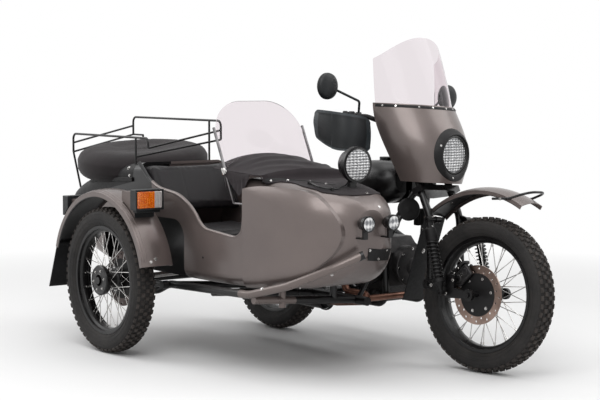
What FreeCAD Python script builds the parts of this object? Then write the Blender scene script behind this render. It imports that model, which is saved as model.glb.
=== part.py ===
import FreeCAD, Part
import math
import os

# A motorcycle with a sidecar on the rider's right.  x grows to the rider's left, so the
# sidecar lies at negative x; y grows backwards; z is up and the ground is z = 0.
# The pieces are drawn with y = 0 at the rear axle and x = 0 in the motorcycle's middle plane,
# and moved at the end so that the reference point lies under the middle of the whole vehicle.

V = FreeCAD.Vector
X_AXIS, Y_AXIS, Z_AXIS = V(1, 0, 0), V(0, 1, 0), V(0, 0, 1)

# Stance
wheel_base = 1530
sidecar_track = 1060
sidecar_lead = 110
origin_x = -333
origin_y = -587
head_angle_deg = 28
front_trail = 65
steer_rest_deg = 8.5

# Fits and clearances
seat_gap = 0.3
shaft_gap = 0.2
cut_over = 20
brake_pad_gap = 1

# Wheels: one size all round
tyre_radius = 342
tyre_half_width = 54
rim_flange_radius = 255
rim_half_width = 38
rim_wall = 3.4
rim_bed_radius = 243
rim_well_radius = 230
axle_radius = 10
hub_radius = 30
hub_flange_radius = 62
hub_flange_wall = 6
hub_half_length = 46
drum_radius = 71
drum_reach = 60
drum_recess_radius = 26
spoke_side = 3.6
spoke_pairs = 18
spoke_circle_radius = 54
spoke_sweep_deg = 34
# Half of the tyre's section: half width, and height above the rim's flange
tyre_section_shares = [(0.86, 0.12), (0.98, 0.3), (1.0, 0.48), (0.95, 0.72), (0.82, 0.88), (0.45, 0.98)]

# Brake discs and the front caliper
disc_radius = 130
disc_inner_radius = 88
disc_wall = 5
disc_offset = 66
disc_hole_radius = 5
disc_hole_count = 24
disc_carrier_radius = 94
link_pivot_behind = 236
link_pivot_rise = 26
link_bar_radius = 15
link_wall = 16
caliper_length = 78
caliper_deg = 38
caliper_half = 24

# Front fork and steering head
fork_tube_radius = 17
fork_half_spread = 104
fork_top_height = 1000
fork_bend_height = 665
fork_lead_top = 22
stem_radius = 14
head_tube_radius = 27
head_low = 800
head_high = 955
clamp_wall = 28
fender_boss_height = 689
gauge_radius = 44
gauge_depth = 42

# Spring units
shock_radius = 22
shock_spring_radius = 27
shock_top_behind = 222
shock_top_rise = 312
shock_foot_behind = 128
shock_eye_radius = 14
rear_shock_ahead = 62

# Front fender, its loop and the flaps
fender_radius = 472
fender_half_width = 74
fender_crown = 16
fender_wall = 3
fender_front_deg = 62
fender_rear_deg = 136
fender_loop_half = 62
flap_wall = 4
loop_low = 424
loop_rise = 40
loop_back = 1590
loop_knee = 1680
loop_tip = 1772

# Fairing, windscreen and headlamp
fairing_wall = 4
fairing_top = 1162
fairing_foot = 816
lamp_height = 945
lamp_front = -1296
lamp_radius = 82
lamp_rim = 8
lamp_hole_radius = 104
screen_wall = 4
screen_top = 1472
fairing_height_shares = [1.0, 0.78, 0.5, 0.22, 0.0]
fairing_half_width = 222
fairing_half_shares = [1.0, 0.985, 0.93, 0.82, 0.72]
fairing_front = -1318
fairing_depth = 330
fairing_front_shares = [0.31, 0.17, 0.03, 0.0, 0.04]
fairing_side_shares = [1.0, 0.95, 0.82, 0.68, 0.58]
lamp_depth_share = 1.02
lamp_bar_radius = 6
# Bands of the windscreen: height, half width, and how far the middle and the sides lie back
screen_shares = [(0, 0.96, 0, 0), (0.5, 1.0, 0.16, 0.05), (1.06, 0.98, 0.4, 0.12)]
screen_round_share = 0.84

# Handlebar, levers, guards and mirrors
handle_radius = 11
handle_half = 405
handle_rise = 1088
grip_radius = 16
grip_length = 118
mirror_half = 418
handle_sweep = 235
lever_wall = 7
lever_reach = 52
guard_wall = 4
guard_top = 1118
guard_low = 936
guard_front = -1012
guard_inner = 232
guard_round = 40
# The guard's rear edge from below: place from its front, and height; then the drop of its top inwards
guard_edge_shares = [(0.0, 0.0), (0.68, 0.0), (0.9, 0.26), (1.0, 0.52), (1.0, 0.86), (0.9, 1.0), (0.0, 1.0)]
guard_fall_share = 0.14
mirror_radius = 58
mirror_wall = 16
mirror_height = 1222
mirror_y = -880

# Motorcycle frame and swing arm
frame_tube_radius = 15
cradle_half = 118
cradle_front = -1004
cradle_back = -440
cradle_low = 246
cradle_knee = 560
spine_back = -640
spine_height = 742
rail_front = -420
rail_back = 130
rail_height = 716
swing_pivot_height = 330
strut_lug_y = -795
arm_half = 92
arm_radius = 19
drive_radius = 78
drive_depth = 132
arm_length = 310

# Tank, saddle, side covers and rear fender
tank_half_width = 150
tank_top = 905
saddle_height = 835
saddle_half_width = 135
rear_fender_radius = 392
rear_fender_half_width = 78
rear_fender_front_deg = 52
rear_fender_back_deg = 168
tail_lamp_half = 46
tank_length = 400
tank_front = -1022
tank_depth = 205
# Stations of the tank: place along it, half width, floor and top
tank_shares = [(0, 0.56, 0.3, 0.84), (0.16, 0.9, 0.08, 0.97), (0.42, 1.0, 0.0, 1.0),
               (0.72, 0.94, 0.04, 0.93), (1.0, 0.62, 0.12, 0.74)]
cap_radius = 34
cap_depth = 14
cover_wall = 26
peg_radius = 11
peg_length = 96

# Engine, intake and exhaust
engine_middle = -890
engine_height = 420
cylinder_radius = 74
cylinder_reach = 345
fin_count = 7
fin_wall = 4
block_half_width = 128
engine_ahead = 104
engine_behind = 138
block_lift = 26
block_rise = 128
gearbox_length = 212
barrel_share = 0.62
pipe_radius = 17.5
header_low = 292
header_front = -1046
header_out = 262
muffler_radius = 44
muffler_start = -770
muffler_end = -150
muffler_height = 250
intake_radius = 23

# Sidecar body
tub_wall = 12
pod_raise = 18
rim_tube_radius = 9
tub_floor = 372
cockpit_front = -948
cockpit_back = -84
cockpit_sill = 590
tub_out = -885
tub_in = -382
tub_rear = 600
tub_nose = -1466
tub_top = 884
tub_length = tub_rear - tub_nose
tub_height = tub_top - tub_floor
# Stations of the body from the nose: place, outer side, inner side, floor, top and corner
tub_shares = [(0.0, 0.42, 0.72, 0.34, 0.72, 0.16), (0.02, 0.29, 0.86, 0.22, 0.8, 0.18),
              (0.06, 0.15, 0.95, 0.1, 0.86, 0.2), (0.13, 0.055, 0.985, 0.045, 0.905, 0.18),
              (0.23, 0.005, 1.0, 0.02, 0.94, 0.12), (0.45, 0.0, 1.0, 0.0, 0.98, 0.1),
              (0.67, 0.0, 1.0, 0.0, 1.0, 0.1), (0.78, 0.01, 1.0, 0.02, 0.94, 0.1),
              (0.9, 0.03, 0.98, 0.1, 0.83, 0.12), (1.0, 0.07, 0.95, 0.24, 0.7, 0.14)]
# The cockpit's rim: place from its back, and drop from the top towards the sill
cockpit_rim_shares = [(0.0, 0.0), (0.155, 0.36), (0.41, 0.45), (0.54, 0.65), (0.625, 0.93), (0.93, 1.0),
                      (0.985, 0.9), (1.0, 0.55), (1.0, 0.1)]
cockpit_bend = 300
arch_front = -480
arch_back = 250
arch_top = 640
arch_depth = 60
# The raised side panel: place from its back, and height
pod_outline_shares = [(0.0, 0.86), (0.2, 0.89), (0.5, 0.885), (0.74, 0.85), (0.9, 0.75), (0.985, 0.62),
                      (0.985, 0.44), (0.86, 0.27), (0.62, 0.13), (0.3, 0.05), (0.0, 0.02)]
pod_back = -962
pod_front = -1442
bulkhead_y = -70

# Trunk lid, spare wheel and rack
lid_skirt = 92
lid_wall = 10
lid_front_gap = 46
lid_fall = 128
spare_radius = 328
spare_half = 76
spare_middle_x = -622
spare_middle_y = 299
spare_height = 868
spare_tilt_deg = 5
spare_rise_deg = 3.8
# The cover's rounded edge: half width and radius
spare_edge_shares = [(0.86, 0), (0.88, 0.42), (0.97, 0.56), (1.0, 0.7), (0.96, 0.82), (0.82, 0.91),
                     (0.58, 0.97), (0.3, 0.995)]
rack_near = -856
rack_far = -440
rack_front = -128
rack_near_back = 590
rack_far_back = 690
rack_near_height = 1000
rack_far_height = 1076
rack_rail_gap = 46
rack_foot_in = 40
rack_foot_front = -16
rack_far_foot = 592

# Sidecar seat, cloth cover and screen
cushion_high = 590
cushion_wall = 168
cushion_front = -640
cushion_back = -176
back_wall = 88
cover_shares = [(0, 0.35, 0.97), (0.3, 0.7, 0.98), (0.65, 1.0, 0.99), (1.0, 0.9, 1.0)]
cover_front = -1062
cover_back = -716
cover_rise = 66
cloth_wall = 8
apron_wall = 3
# The cloth's front edge over the nose: place across the body and along it, both from the outer front
apron_shares = [(0.235, 0.215), (0.22, 0.12), (0.265, 0.07), (0.36, 0.042), (0.62, 0.035), (0.83, 0.045),
                (0.91, 0.09), (0.95, 0.215)]
glass_low = 800
glass_high = 1182
glass_lean_deg = 26
glass_back = -843
screen_bar = 9
bar_top_share = 0.78
near_bar_foot = -63

# Sidecar frame and struts
side_tube_radius = 20
outer_rail_x = -918
inner_rail_x = -352
rail_z = 342
tube_back = 130
rail_drop = 44
drop_start = -300
post_top = 640
post_y = -40
inner_rail_front = -1150
cross_bar_y_shares = [0.475, 0.742, 1.0]
# The front of the outer rail: place, and steps in and up in tube radii
bumper_shares = [(0.608, 0, 1), (0.797, 2, 4), (0.937, 6.6, 8), (1.0, 12, 11)]
strut_radius = 11
front_strut_y = -1080
front_strut_share = 0.42
upright_share = 0.37
rear_strut_y = -166

# Sidecar fender and its lamps
side_fender_radius = 428
side_fender_half = 82
side_fender_front_deg = 14
side_fender_rear_deg = 162
fender_shift = 12
marker_half = 74
marker_tall = 47
marker_depth = 40
marker_arm = 110
marker_reach = 332
marker_lens = 9
marker_height = 738

# Lamps on the nose
fog_x = -668
fog_apart = 134
fog_y = -1536
fog_z = 689
fog_radius = 31
spot_x = -560
spot_y = -1330
spot_z = 922
spot_radius = 70

# The spot lamp's cable: steps from the lamp out to the side, back and down
cable_radius = 4
cable_reach = 200
cable_lead_shares = [(0.06, 0.16, 0.7), (0.17, 0.15, 1.22)]
cable_way_shares = [(0.37, 0.07), (0.6, -0.04), (0.82, 0.01), (0.905, 0.19), (0.875, 0.42), (0.8, 0.64)]
gland_radius = 9
clip_half = 5
clip_index = 3

# Small tubes
bar_tube_radius = 5.5

nodes = {}


# Shapes that several pieces use

def at(x, y, z):
    return V(x, y, z)


def box(x0, x1, y0, y1, z0, z1):
    return Part.makeBox(x1 - x0, y1 - y0, z1 - z0, V(x0, y0, z0))


def rod(start, end, radius):
    run = end.sub(start)
    return Part.makeCylinder(radius, run.Length, start, run)


def pipe(start, end, outer, inner):
    return rod(start, end, outer).cut(rod(start, end, inner))


def bent_wire(points, bend):
    edges = []
    last = points[0]
    for before, here, after in zip(points[:-2], points[1:-1], points[2:]):
        a, b = before.sub(here), after.sub(here)
        turn = math.pi - a.getAngle(b)
        setback = min(bend * math.tan(turn / 2), a.Length * 0.48, b.Length * 0.48)
        radius = setback / math.tan(turn / 2)
        a.normalize()
        b.normalize()
        toward = a.add(b)
        toward.normalize()
        start, end = here.add(a * setback), here.add(b * setback)
        middle = here.add(toward * (radius / math.cos(turn / 2) - radius))
        edges.append(Part.LineSegment(last, start).toShape())
        edges.append(Part.Arc(start, middle, end).toShape())
        last = end
    edges.append(Part.LineSegment(last, points[-1]).toShape())
    return Part.Wire(edges)


def bent_tube(points, radius, bend):
    path = bent_wire(points, bend)
    run = points[1].sub(points[0])
    ring = Part.Wire([Part.makeCircle(radius, points[0], run)])
    return path.makePipeShell([ring], True, False)


def prism_x(yz, x0, x1):
    ring = [V(x0, y, z) for y, z in yz]
    return Part.Face(Part.makePolygon(ring + ring[:1])).extrude(V(x1 - x0, 0, 0))


def prism_z(xy, z0, z1):
    ring = [V(x, y, z0) for x, y in xy]
    return Part.Face(Part.makePolygon(ring + ring[:1])).extrude(V(0, 0, z1 - z0))


def turned(profile, centre, axis, sweep=360):
    # The profile holds (distance along the axis, radius) pairs.
    side = Z_AXIS if axis.dot(Z_AXIS) == 0 else X_AXIS
    ring = [centre.add(axis * a).add(side * r) for a, r in profile]
    return Part.Face(Part.makePolygon(ring + ring[:1])).revolve(centre, axis, sweep)


def fused(pieces):
    return pieces[0].multiFuse(pieces[1:]).removeSplitter()


def mirrored(shape):
    return shape.mirror(V(0, 0, 0), X_AXIS)


def both(shape):
    return [shape, mirrored(shape)]


def put(name, pieces):
    nodes[name] = pieces if isinstance(pieces, list) else [pieces]


# Wheels: a tyre, a wire wheel and a drilled brake disc on each axle

def tyre(centre):
    w, low = tyre_half_width, rim_flange_radius
    rise = tyre_radius - low
    bead = rim_half_width - rim_wall - seat_gap
    half = [(bead, rim_bed_radius + seat_gap), (bead, low)]
    half = half + [(w * a, low + rise * r) for a, r in tyre_section_shares]
    return turned(half + [(0, tyre_radius)] + [(-a, r) for a, r in half[::-1]], centre, X_AXIS)


def wheel_rim(centre):
    w, r = rim_half_width, rim_flange_radius
    bed, well = rim_bed_radius, rim_well_radius
    under = rim_wall
    profile = [(-w, r), (-w + under, r), (-w + under, bed), (-w * 0.5, bed),
               (-w * 0.36, well), (w * 0.36, well), (w * 0.5, bed), (w - under, bed),
               (w - under, r), (w, r), (w, bed - under), (w * 0.46, bed - under),
               (w * 0.36, well - under), (-w * 0.36, well - under),
               (-w * 0.46, bed - under), (-w, bed - under)]
    return turned(profile, centre, X_AXIS)


def wheel_hub(centre):
    half, wall, r = hub_half_length, hub_flange_wall, hub_flange_radius
    bore = axle_radius + shaft_gap
    profile = [(-half, bore), (-half, hub_radius), (-half * 0.72, hub_radius),
               (-half * 0.72, r), (-half * 0.72 + wall, r), (-half * 0.45, hub_radius),
               (half * 0.45, hub_radius), (half * 0.72 - wall, r), (half * 0.72, r),
               (half * 0.72, hub_radius), (half, hub_radius), (half, bore)]
    return turned(profile, centre, X_AXIS)


def hub_drum(centre):
    # The drum on the outer side of the sidecar wheel's hub, open around the axle's nut
    start, bevel, bore = hub_half_length * 0.72, hub_flange_wall, axle_radius + shaft_gap
    profile = [(-start, bore), (-start, drum_radius), (bevel - drum_reach, drum_radius),
               (-drum_reach, drum_radius - bevel), (-drum_reach, drum_recess_radius + bevel),
               (bevel - drum_reach, drum_recess_radius), (-hub_half_length, drum_recess_radius),
               (-hub_half_length, bore)]
    return turned(profile, centre, X_AXIS)


def spoke(centre, side, turn_deg, sweep_deg):
    inner, outer = spoke_circle_radius, rim_well_radius - rim_wall / 2
    near = side * (hub_half_length * 0.72 - hub_flange_wall / 2)
    a, b = math.radians(turn_deg), math.radians(turn_deg + sweep_deg)
    start = centre.add(V(near, inner * math.cos(a), inner * math.sin(a)))
    end = centre.add(V(side * rim_wall, outer * math.cos(b), outer * math.sin(b)))
    run = end.sub(start)
    bar = Part.makeBox(spoke_side, spoke_side, run.Length, V(-spoke_side / 2, -spoke_side / 2, 0))
    bar.Placement = FreeCAD.Placement(start, FreeCAD.Rotation(Z_AXIS, run))
    return bar


def wire_wheel(centre):
    bars = []
    step = 360 / spoke_pairs
    for i in range(spoke_pairs):
        side = 1 if i % 2 else -1
        bars.append(spoke(centre, side, i * step, spoke_sweep_deg))
        bars.append(spoke(centre, side, i * step + step / 3, -spoke_sweep_deg))
    return fused([wheel_rim(centre), wheel_hub(centre)] + bars)


def brake_disc(centre, side):
    middle = centre.add(V(side * disc_offset, 0, 0))
    half = disc_wall / 2
    hub_end = disc_offset - hub_half_length
    ring = turned([(-half, disc_inner_radius), (-half, disc_radius), (half, disc_radius),
                   (half, disc_inner_radius)], middle, X_AXIS)
    drills = []
    for i in range(disc_hole_count):
        a = math.radians(i * 360 / disc_hole_count)
        r = disc_inner_radius + (disc_radius - disc_inner_radius) * (0.35 if i % 2 else 0.68)
        foot = middle.add(V(-disc_wall, r * math.cos(a), r * math.sin(a)))
        drills.append(rod(foot, foot.add(V(2 * disc_wall, 0, 0)), disc_hole_radius))
    ring = ring.cut(Part.makeCompound(drills))
    bore = axle_radius + shaft_gap
    seat = -side * (hub_end - seat_gap)
    carrier = turned([(seat, bore), (seat, hub_radius), (-side * half, disc_carrier_radius),
                      (side * half, disc_carrier_radius), (side * half, bore)], middle, X_AXIS)
    return fused([ring, carrier])


# The steered parts are drawn straight ahead, then turned to the resting angle

def steer_y(z):
    return -(wheel_base + front_trail) + z * math.tan(math.radians(head_angle_deg))


def steer_axis():
    a = math.radians(head_angle_deg)
    return V(0, math.sin(a), math.cos(a))


def steered(shape):
    turned_shape = shape.copy()
    turned_shape.rotate(V(0, steer_y(0), 0), steer_axis(), steer_rest_deg)
    return turned_shape


front_hub = V(0, -wheel_base, tyre_radius)
rear_hub = V(0, 0, tyre_radius)
side_hub = V(-sidecar_track, -sidecar_lead, tyre_radius)


def fork_leg(side):
    x = side * fork_half_spread
    foot = front_hub.add(V(x, link_pivot_behind, link_pivot_rise))
    top = V(x, steer_y(fork_top_height) - fork_lead_top, fork_top_height)
    bend = V(x, steer_y(fork_bend_height) - fork_lead_top, fork_bend_height)
    leg = bent_tube([top, bend, foot], fork_tube_radius, fork_bend_height / 4)
    eye_half = V(fork_tube_radius + seat_gap, 0, 0)
    eye = rod(foot.sub(eye_half), foot.add(eye_half), fork_tube_radius * 1.35)
    ear_at = front_hub.add(V(x, shock_top_behind, shock_top_rise))
    ear = rod(ear_at.add(V(-fork_tube_radius, 0, 0)), ear_at.add(V(fork_tube_radius, 0, 0)),
              shock_eye_radius)
    pin = rod(ear_at, ear_at.add(V(side * 2 * shock_spring_radius, 0, 0)), axle_radius)
    boss_y = steer_y(fender_boss_height) - fork_lead_top
    boss = rod(V(x, boss_y, fender_boss_height),
               V(side * (fender_half_width + seat_gap), boss_y, fender_boss_height), fork_tube_radius / 2)
    return fused([leg, eye, boss, rod(bend, ear_at, shock_eye_radius * 0.9), ear, pin])


def clamp_plate(height):
    y = steer_y(height)
    half = fork_half_spread
    wide = fork_tube_radius * 1.7
    lead = fork_lead_top
    outline = [(-half - wide, y - lead - wide), (half + wide, y - lead - wide),
               (half + wide, y - lead + wide), (wide * 1.3, y + wide * 1.3),
               (-wide * 1.3, y + wide * 1.3), (-half - wide, y - lead + wide)]
    plate = prism_z(outline, height - clamp_wall / 2, height + clamp_wall / 2)
    return plate.rotated(V(0, y, height), X_AXIS, -head_angle_deg)


def leading_link():
    arms = []
    for side in (-1, 1):
        x = side * (fork_half_spread + fork_tube_radius + seat_gap + link_wall / 2)
        pivot = front_hub.add(V(x, link_pivot_behind, link_pivot_rise))
        axle = front_hub.add(V(x, 0, 0))
        foot = front_hub.add(V(x, shock_foot_behind, 0))
        half = V(link_wall / 2, 0, 0)
        arm = fused([rod(p.sub(half), p.add(half), r)
                     for p, r in ((pivot, link_bar_radius * 1.5), (axle, link_bar_radius * 1.7))] +
                    [prism_x([(pivot.y, pivot.z + link_bar_radius), (axle.y, axle.z + link_bar_radius),
                              (axle.y, axle.z - link_bar_radius),
                              (foot.y, foot.z - link_bar_radius * 1.6),
                              (pivot.y, pivot.z - link_bar_radius)],
                             x - link_wall / 2, x + link_wall / 2)])
        arms.append(arm)
    end = fork_half_spread + fork_tube_radius + seat_gap + link_wall
    pivot = front_hub.add(V(0, link_pivot_behind, link_pivot_rise))
    bolts = [rod(pivot.add(V(s * (fork_half_spread + fork_tube_radius + seat_gap), 0, 0)),
                 pivot.add(V(s * (end + link_wall / 2), 0, 0)), axle_radius) for s in (-1, 1)]
    axle = rod(front_hub.sub(V(end + link_wall / 2, 0, 0)), front_hub.add(V(end + link_wall / 2, 0, 0)),
               axle_radius)
    a = math.radians(caliper_deg)
    middle = front_hub.add(V(0, disc_radius * math.cos(a), disc_radius * math.sin(a)))
    lug = box(-end, -end + link_wall, middle.y - caliper_half, middle.y + caliper_half,
              front_hub.z, middle.z)
    return fused(arms + [axle, lug] + bolts)


def front_shock(side):
    x = side * (fork_half_spread + fork_tube_radius + link_wall + shock_spring_radius + 4 * seat_gap)
    top = front_hub.add(V(x, shock_top_behind, shock_top_rise))
    foot = front_hub.add(V(x, shock_foot_behind, 0))
    run = foot.sub(top)
    spring_top = top.add(run * 0.12)
    spring_foot = top.add(run * 0.84)
    pieces = [rod(top, foot, shock_radius * 0.5), rod(spring_top, spring_foot, shock_spring_radius),
              rod(spring_top, top.add(run * 0.3), shock_spring_radius * 1.06)]
    eyes = [rod(p.sub(V(shock_eye_radius, 0, 0)), p.add(V(shock_eye_radius, 0, 0)), shock_eye_radius)
            for p in (top, foot)]
    bolts = [rod(foot.sub(V(side * shock_spring_radius, 0, 0)), foot, axle_radius)]
    solid = fused(pieces + eyes + bolts)
    hole = rod(top.sub(V(2 * shock_spring_radius, 0, 0)), top.add(V(2 * shock_spring_radius, 0, 0)),
               axle_radius + shaft_gap)
    return solid.cut(hole)


def arc_point(centre, radius, degrees_up_from_front):
    a = math.radians(degrees_up_from_front)
    return V(centre.x, centre.y - radius * math.cos(a), centre.z + radius * math.sin(a))


def curved_fender(centre, radius, half, crown, wall, start_deg, end_deg, lip):
    # The section is an arched strip with turned-down lips, swept about the wheel's axle.
    def strip(offset):
        top = radius + offset
        h = half + offset
        return [V(-h, 0, top - lip), V(-h, 0, top - crown), V(0, 0, top), V(h, 0, top - crown),
                V(h, 0, top - lip)]
    outer, inner = strip(0), strip(-wall)
    edges = [Part.LineSegment(outer[0], outer[1]).toShape(),
             Part.Arc(outer[1], outer[2], outer[3]).toShape(),
             Part.LineSegment(outer[3], outer[4]).toShape(),
             Part.LineSegment(outer[4], inner[4]).toShape(),
             Part.LineSegment(inner[4], inner[3]).toShape(),
             Part.Arc(inner[3], inner[2], inner[1]).toShape(),
             Part.LineSegment(inner[1], inner[0]).toShape(),
             Part.LineSegment(inner[0], outer[0]).toShape()]
    face = Part.Face(Part.Wire(edges))
    face.rotate(V(0, 0, 0), X_AXIS, 90 - start_deg)
    band = face.revolve(V(0, 0, 0), X_AXIS, -(end_deg - start_deg))
    band.translate(centre)
    return band


def front_fender():
    return curved_fender(front_hub, fender_radius, fender_half_width, fender_crown, fender_wall,
                         fender_front_deg, fender_rear_deg, fender_crown * 2)


def front_flap():
    lip = arc_point(front_hub, fender_radius - fender_crown - fender_wall, fender_rear_deg)
    half = fender_half_width - fender_wall - seat_gap
    low = front_hub.z - rim_half_width * 1.8
    back = lip.y + fork_half_spread
    outline = [(lip.y - flap_wall, lip.z + fender_wall), (lip.y, lip.z + fender_wall), (back, low),
               (back - flap_wall, low)]
    return prism_x(outline, -half, half).cut(front_fender())


def shield_band(height, half, front, side_y, wall):
    def three(offset):
        return (V(-half + offset, side_y, height), V(0, front + offset, height),
                V(half - offset, side_y, height))
    a, b = three(0), three(wall)
    edges = [Part.Arc(*a).toShape(), Part.LineSegment(a[2], b[2]).toShape(),
             Part.Arc(b[2], b[1], b[0]).toShape(), Part.LineSegment(b[0], a[0]).toShape()]
    return Part.Wire(edges)


def fairing_shape():
    rise = fairing_top - fairing_foot
    bands = [shield_band(fairing_foot + rise * h, fairing_half_width * w,
                         fairing_front + fairing_depth * f, fairing_front + fairing_depth * s, fairing_wall)
             for h, w, f, s in zip(fairing_height_shares, fairing_half_shares, fairing_front_shares,
                                   fairing_side_shares)]
    shell = Part.makeLoft(bands[::-1], True, False)
    hole = rod(V(0, fairing_front - cut_over, lamp_height), V(0, lamp_front + fairing_depth / 2, lamp_height),
               lamp_hole_radius)
    return shell.cut(hole)


def windscreen():
    rise = screen_top - fairing_top
    base_half = fairing_half_width * 0.97
    front = fairing_front + fairing_depth * fairing_front_shares[0]
    side = fairing_front + fairing_depth * fairing_side_shares[0]
    lap = fairing_wall + seat_gap
    bands = [shield_band(fairing_top - cut_over + rise * h, base_half * w, front + lap + fairing_depth * f,
                         side - lap + fairing_depth * s, screen_wall)
             for h, w, f, s in screen_shares]
    shell = Part.makeLoft(bands, True, False)
    top_round = rise * screen_round_share
    outline = Part.makeCylinder(top_round, fairing_depth * 4,
                                V(0, fairing_front - cut_over, screen_top - top_round), Y_AXIS)
    low = box(-fairing_half_width, fairing_half_width, fairing_front - cut_over,
              fairing_front + fairing_depth * 4, fairing_top - cut_over, fairing_top + rise * 0.45)
    return shell.common(fused([outline, low]))


def headlamp_bowl():
    r = lamp_radius
    y = lamp_front
    profile = [(0, r), (0, r + lamp_rim), (r * 0.18, r + lamp_rim), (r * 0.25, r + lamp_rim * 0.6),
               (r * 0.75, r * 0.78), (r * lamp_depth_share, r * 0.35), (r * lamp_depth_share, 0),
               (r * 0.2, 0), (r * 0.2, r)]
    return turned(profile, V(0, y, lamp_height), Y_AXIS)


def lamp_surround():
    inner = lamp_radius + lamp_rim + seat_gap
    outer = lamp_hole_radius - seat_gap
    back = lamp_radius * lamp_depth_share
    depth = back * 0.8
    profile = [(lamp_rim, inner), (lamp_rim, inner + lamp_rim / 2), (depth, outer), (back, outer),
               (back, inner)]
    ring = turned(profile, V(0, lamp_front, lamp_height), Y_AXIS)
    return ring


def lens(centre, axis, radius, wall, dome):
    profile = [(0, 0), (0, radius), (-wall, radius), (-wall - dome * 0.7, radius * 0.55), (-wall - dome, 0)]
    return turned(profile, centre, axis)


# Front end details

def fender_loop():
    out = fender_half_width + bar_tube_radius + seat_gap
    foot, knee = tyre_radius + loop_low, tyre_radius + loop_low + loop_rise / 6
    points = []
    for side in (-1, 1):
        run = [V(side * out, -loop_back, foot), V(side * out, -loop_knee, knee),
               V(side * fender_loop_half, -loop_tip, foot + loop_rise)]
        points = points + (run if side < 0 else run[::-1])
    return bent_tube(points, bar_tube_radius, fender_loop_half * 0.95)


def clamp_with_bores(height):
    plate = clamp_plate(height)
    reach = steer_axis() * (3 * clamp_wall)
    cuts = []
    for side in (-1, 1):
        middle = V(side * fork_half_spread, steer_y(height) - fork_lead_top, height)
        cuts.append(rod(middle.sub(reach), middle.add(reach), fork_tube_radius + shaft_gap))
    return plate.cut(Part.makeCompound(cuts))


def steering_stem():
    low, high = head_low - clamp_wall, head_high + clamp_wall
    a = V(0, steer_y(low), low)
    b = V(0, steer_y(high), high)
    stem = rod(a, b, stem_radius)
    return fused([clamp_with_bores(head_low - clamp_wall), clamp_with_bores(head_high + clamp_wall), stem])


def lamp_bracket():
    tube_face = steer_y(lamp_height) - fork_lead_top - fork_tube_radius / math.cos(math.radians(head_angle_deg))
    bar_y = lamp_front + lamp_radius * lamp_depth_share + lamp_bar_radius + seat_gap
    bar = rod(V(-fork_half_spread, bar_y, lamp_height), V(fork_half_spread, bar_y, lamp_height),
              lamp_bar_radius)
    arms = [rod(V(s * fork_half_spread, bar_y, lamp_height),
                V(s * fork_half_spread, tube_face - seat_gap, lamp_height), lamp_bar_radius) for s in (-1, 1)]
    return fused([bar] + arms)


def fairing_bar(shell):
    # Across the front of the upper clamp, out to both sides of the fairing
    height = head_high + clamp_wall
    reach = fork_lead_top + 1.7 * fork_tube_radius
    a = math.radians(head_angle_deg)
    y, z = steer_y(height) - reach * math.cos(a) - lamp_bar_radius / 2, height + reach * math.sin(a)
    bar = rod(V(-fairing_half_width, y, z), V(fairing_half_width, y, z), lamp_bar_radius).cut(shell)
    return min(bar.Solids, key=lambda q: abs(q.CenterOfMass.x))


def screen_pads(shell, screen):
    pads = []
    for side in (-1, 0, 1):
        x, z = side * fairing_half_width * 0.55, fairing_top - cut_over / 2
        run = rod(V(x, fairing_front, z), V(x, fairing_front + fairing_depth, z), lamp_bar_radius)
        parts = sorted(run.cut(shell).cut(screen).Solids, key=lambda q: q.BoundBox.YMin)
        pads.append(parts[1])
    return pads


def dials():
    height = head_high + clamp_wall * 1.5 + clamp_wall
    y = steer_y(height) - fork_lead_top
    pod = Part.makeCylinder(gauge_radius, gauge_depth, V(0, y, height), V(0, 1, 2))
    bar = rod(V(0, y, height), V(0, steer_y(head_high + clamp_wall * 1.6), head_high + clamp_wall * 1.6),
              stem_radius)
    return fused([pod, bar])


def handlebar_points():
    bar_y = steer_y(fork_top_height)
    return [V(handle_half, bar_y + handle_sweep, handle_rise),
            V(handle_half * 0.52, bar_y + handle_sweep * 0.5, handle_rise + handle_radius),
            V(handle_half * 0.2, bar_y, fork_top_height + 4 * handle_radius)]


def handlebar():
    run = handlebar_points()
    left = [V(p.x, p.y, p.z) for p in run]
    right = [V(-p.x, p.y, p.z) for p in run]
    bar = bent_tube(right + left[::-1], handle_radius, 5 * handle_radius)
    risers = []
    for side in (-1, 1):
        x = side * handle_half * 0.1
        y = left[-1].y
        risers.append(rod(V(x, y, left[-1].z), V(x, y, head_high + clamp_wall), handle_radius * 1.2))
    return fused([bar] + risers)


def along_bar(distance):
    # A point on the straight outer length of the left half, and the bar's direction there
    run = handlebar_points()
    out = run[0].sub(run[1])
    out.normalize()
    return run[0].sub(out * distance), out


def grips():
    end, out = along_bar(0)
    start = end.sub(out * grip_length)
    sleeve = pipe(start, end, grip_radius, handle_radius + shaft_gap)
    collar = pipe(start.sub(out * grip_radius), start, grip_radius * 1.5, handle_radius + shaft_gap)
    return both(fused([sleeve, collar]))


def levers():
    seat, out = along_bar(grip_length + 2.2 * grip_radius)
    tip, _ = along_bar(grip_length * 0.12)
    ahead = V(0, -lever_reach, 0)
    perch = pipe(seat.sub(out * grip_radius), seat.add(out * grip_radius), grip_radius * 1.25,
                 handle_radius + shaft_gap)
    neck = seat.add(V(0, -grip_radius, 0))
    blade = bent_tube([neck, neck.add(ahead * 0.7).add(out * grip_radius), tip.add(ahead)],
                      lever_wall / 2, grip_radius)
    return both(fused([perch, blade]))


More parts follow.
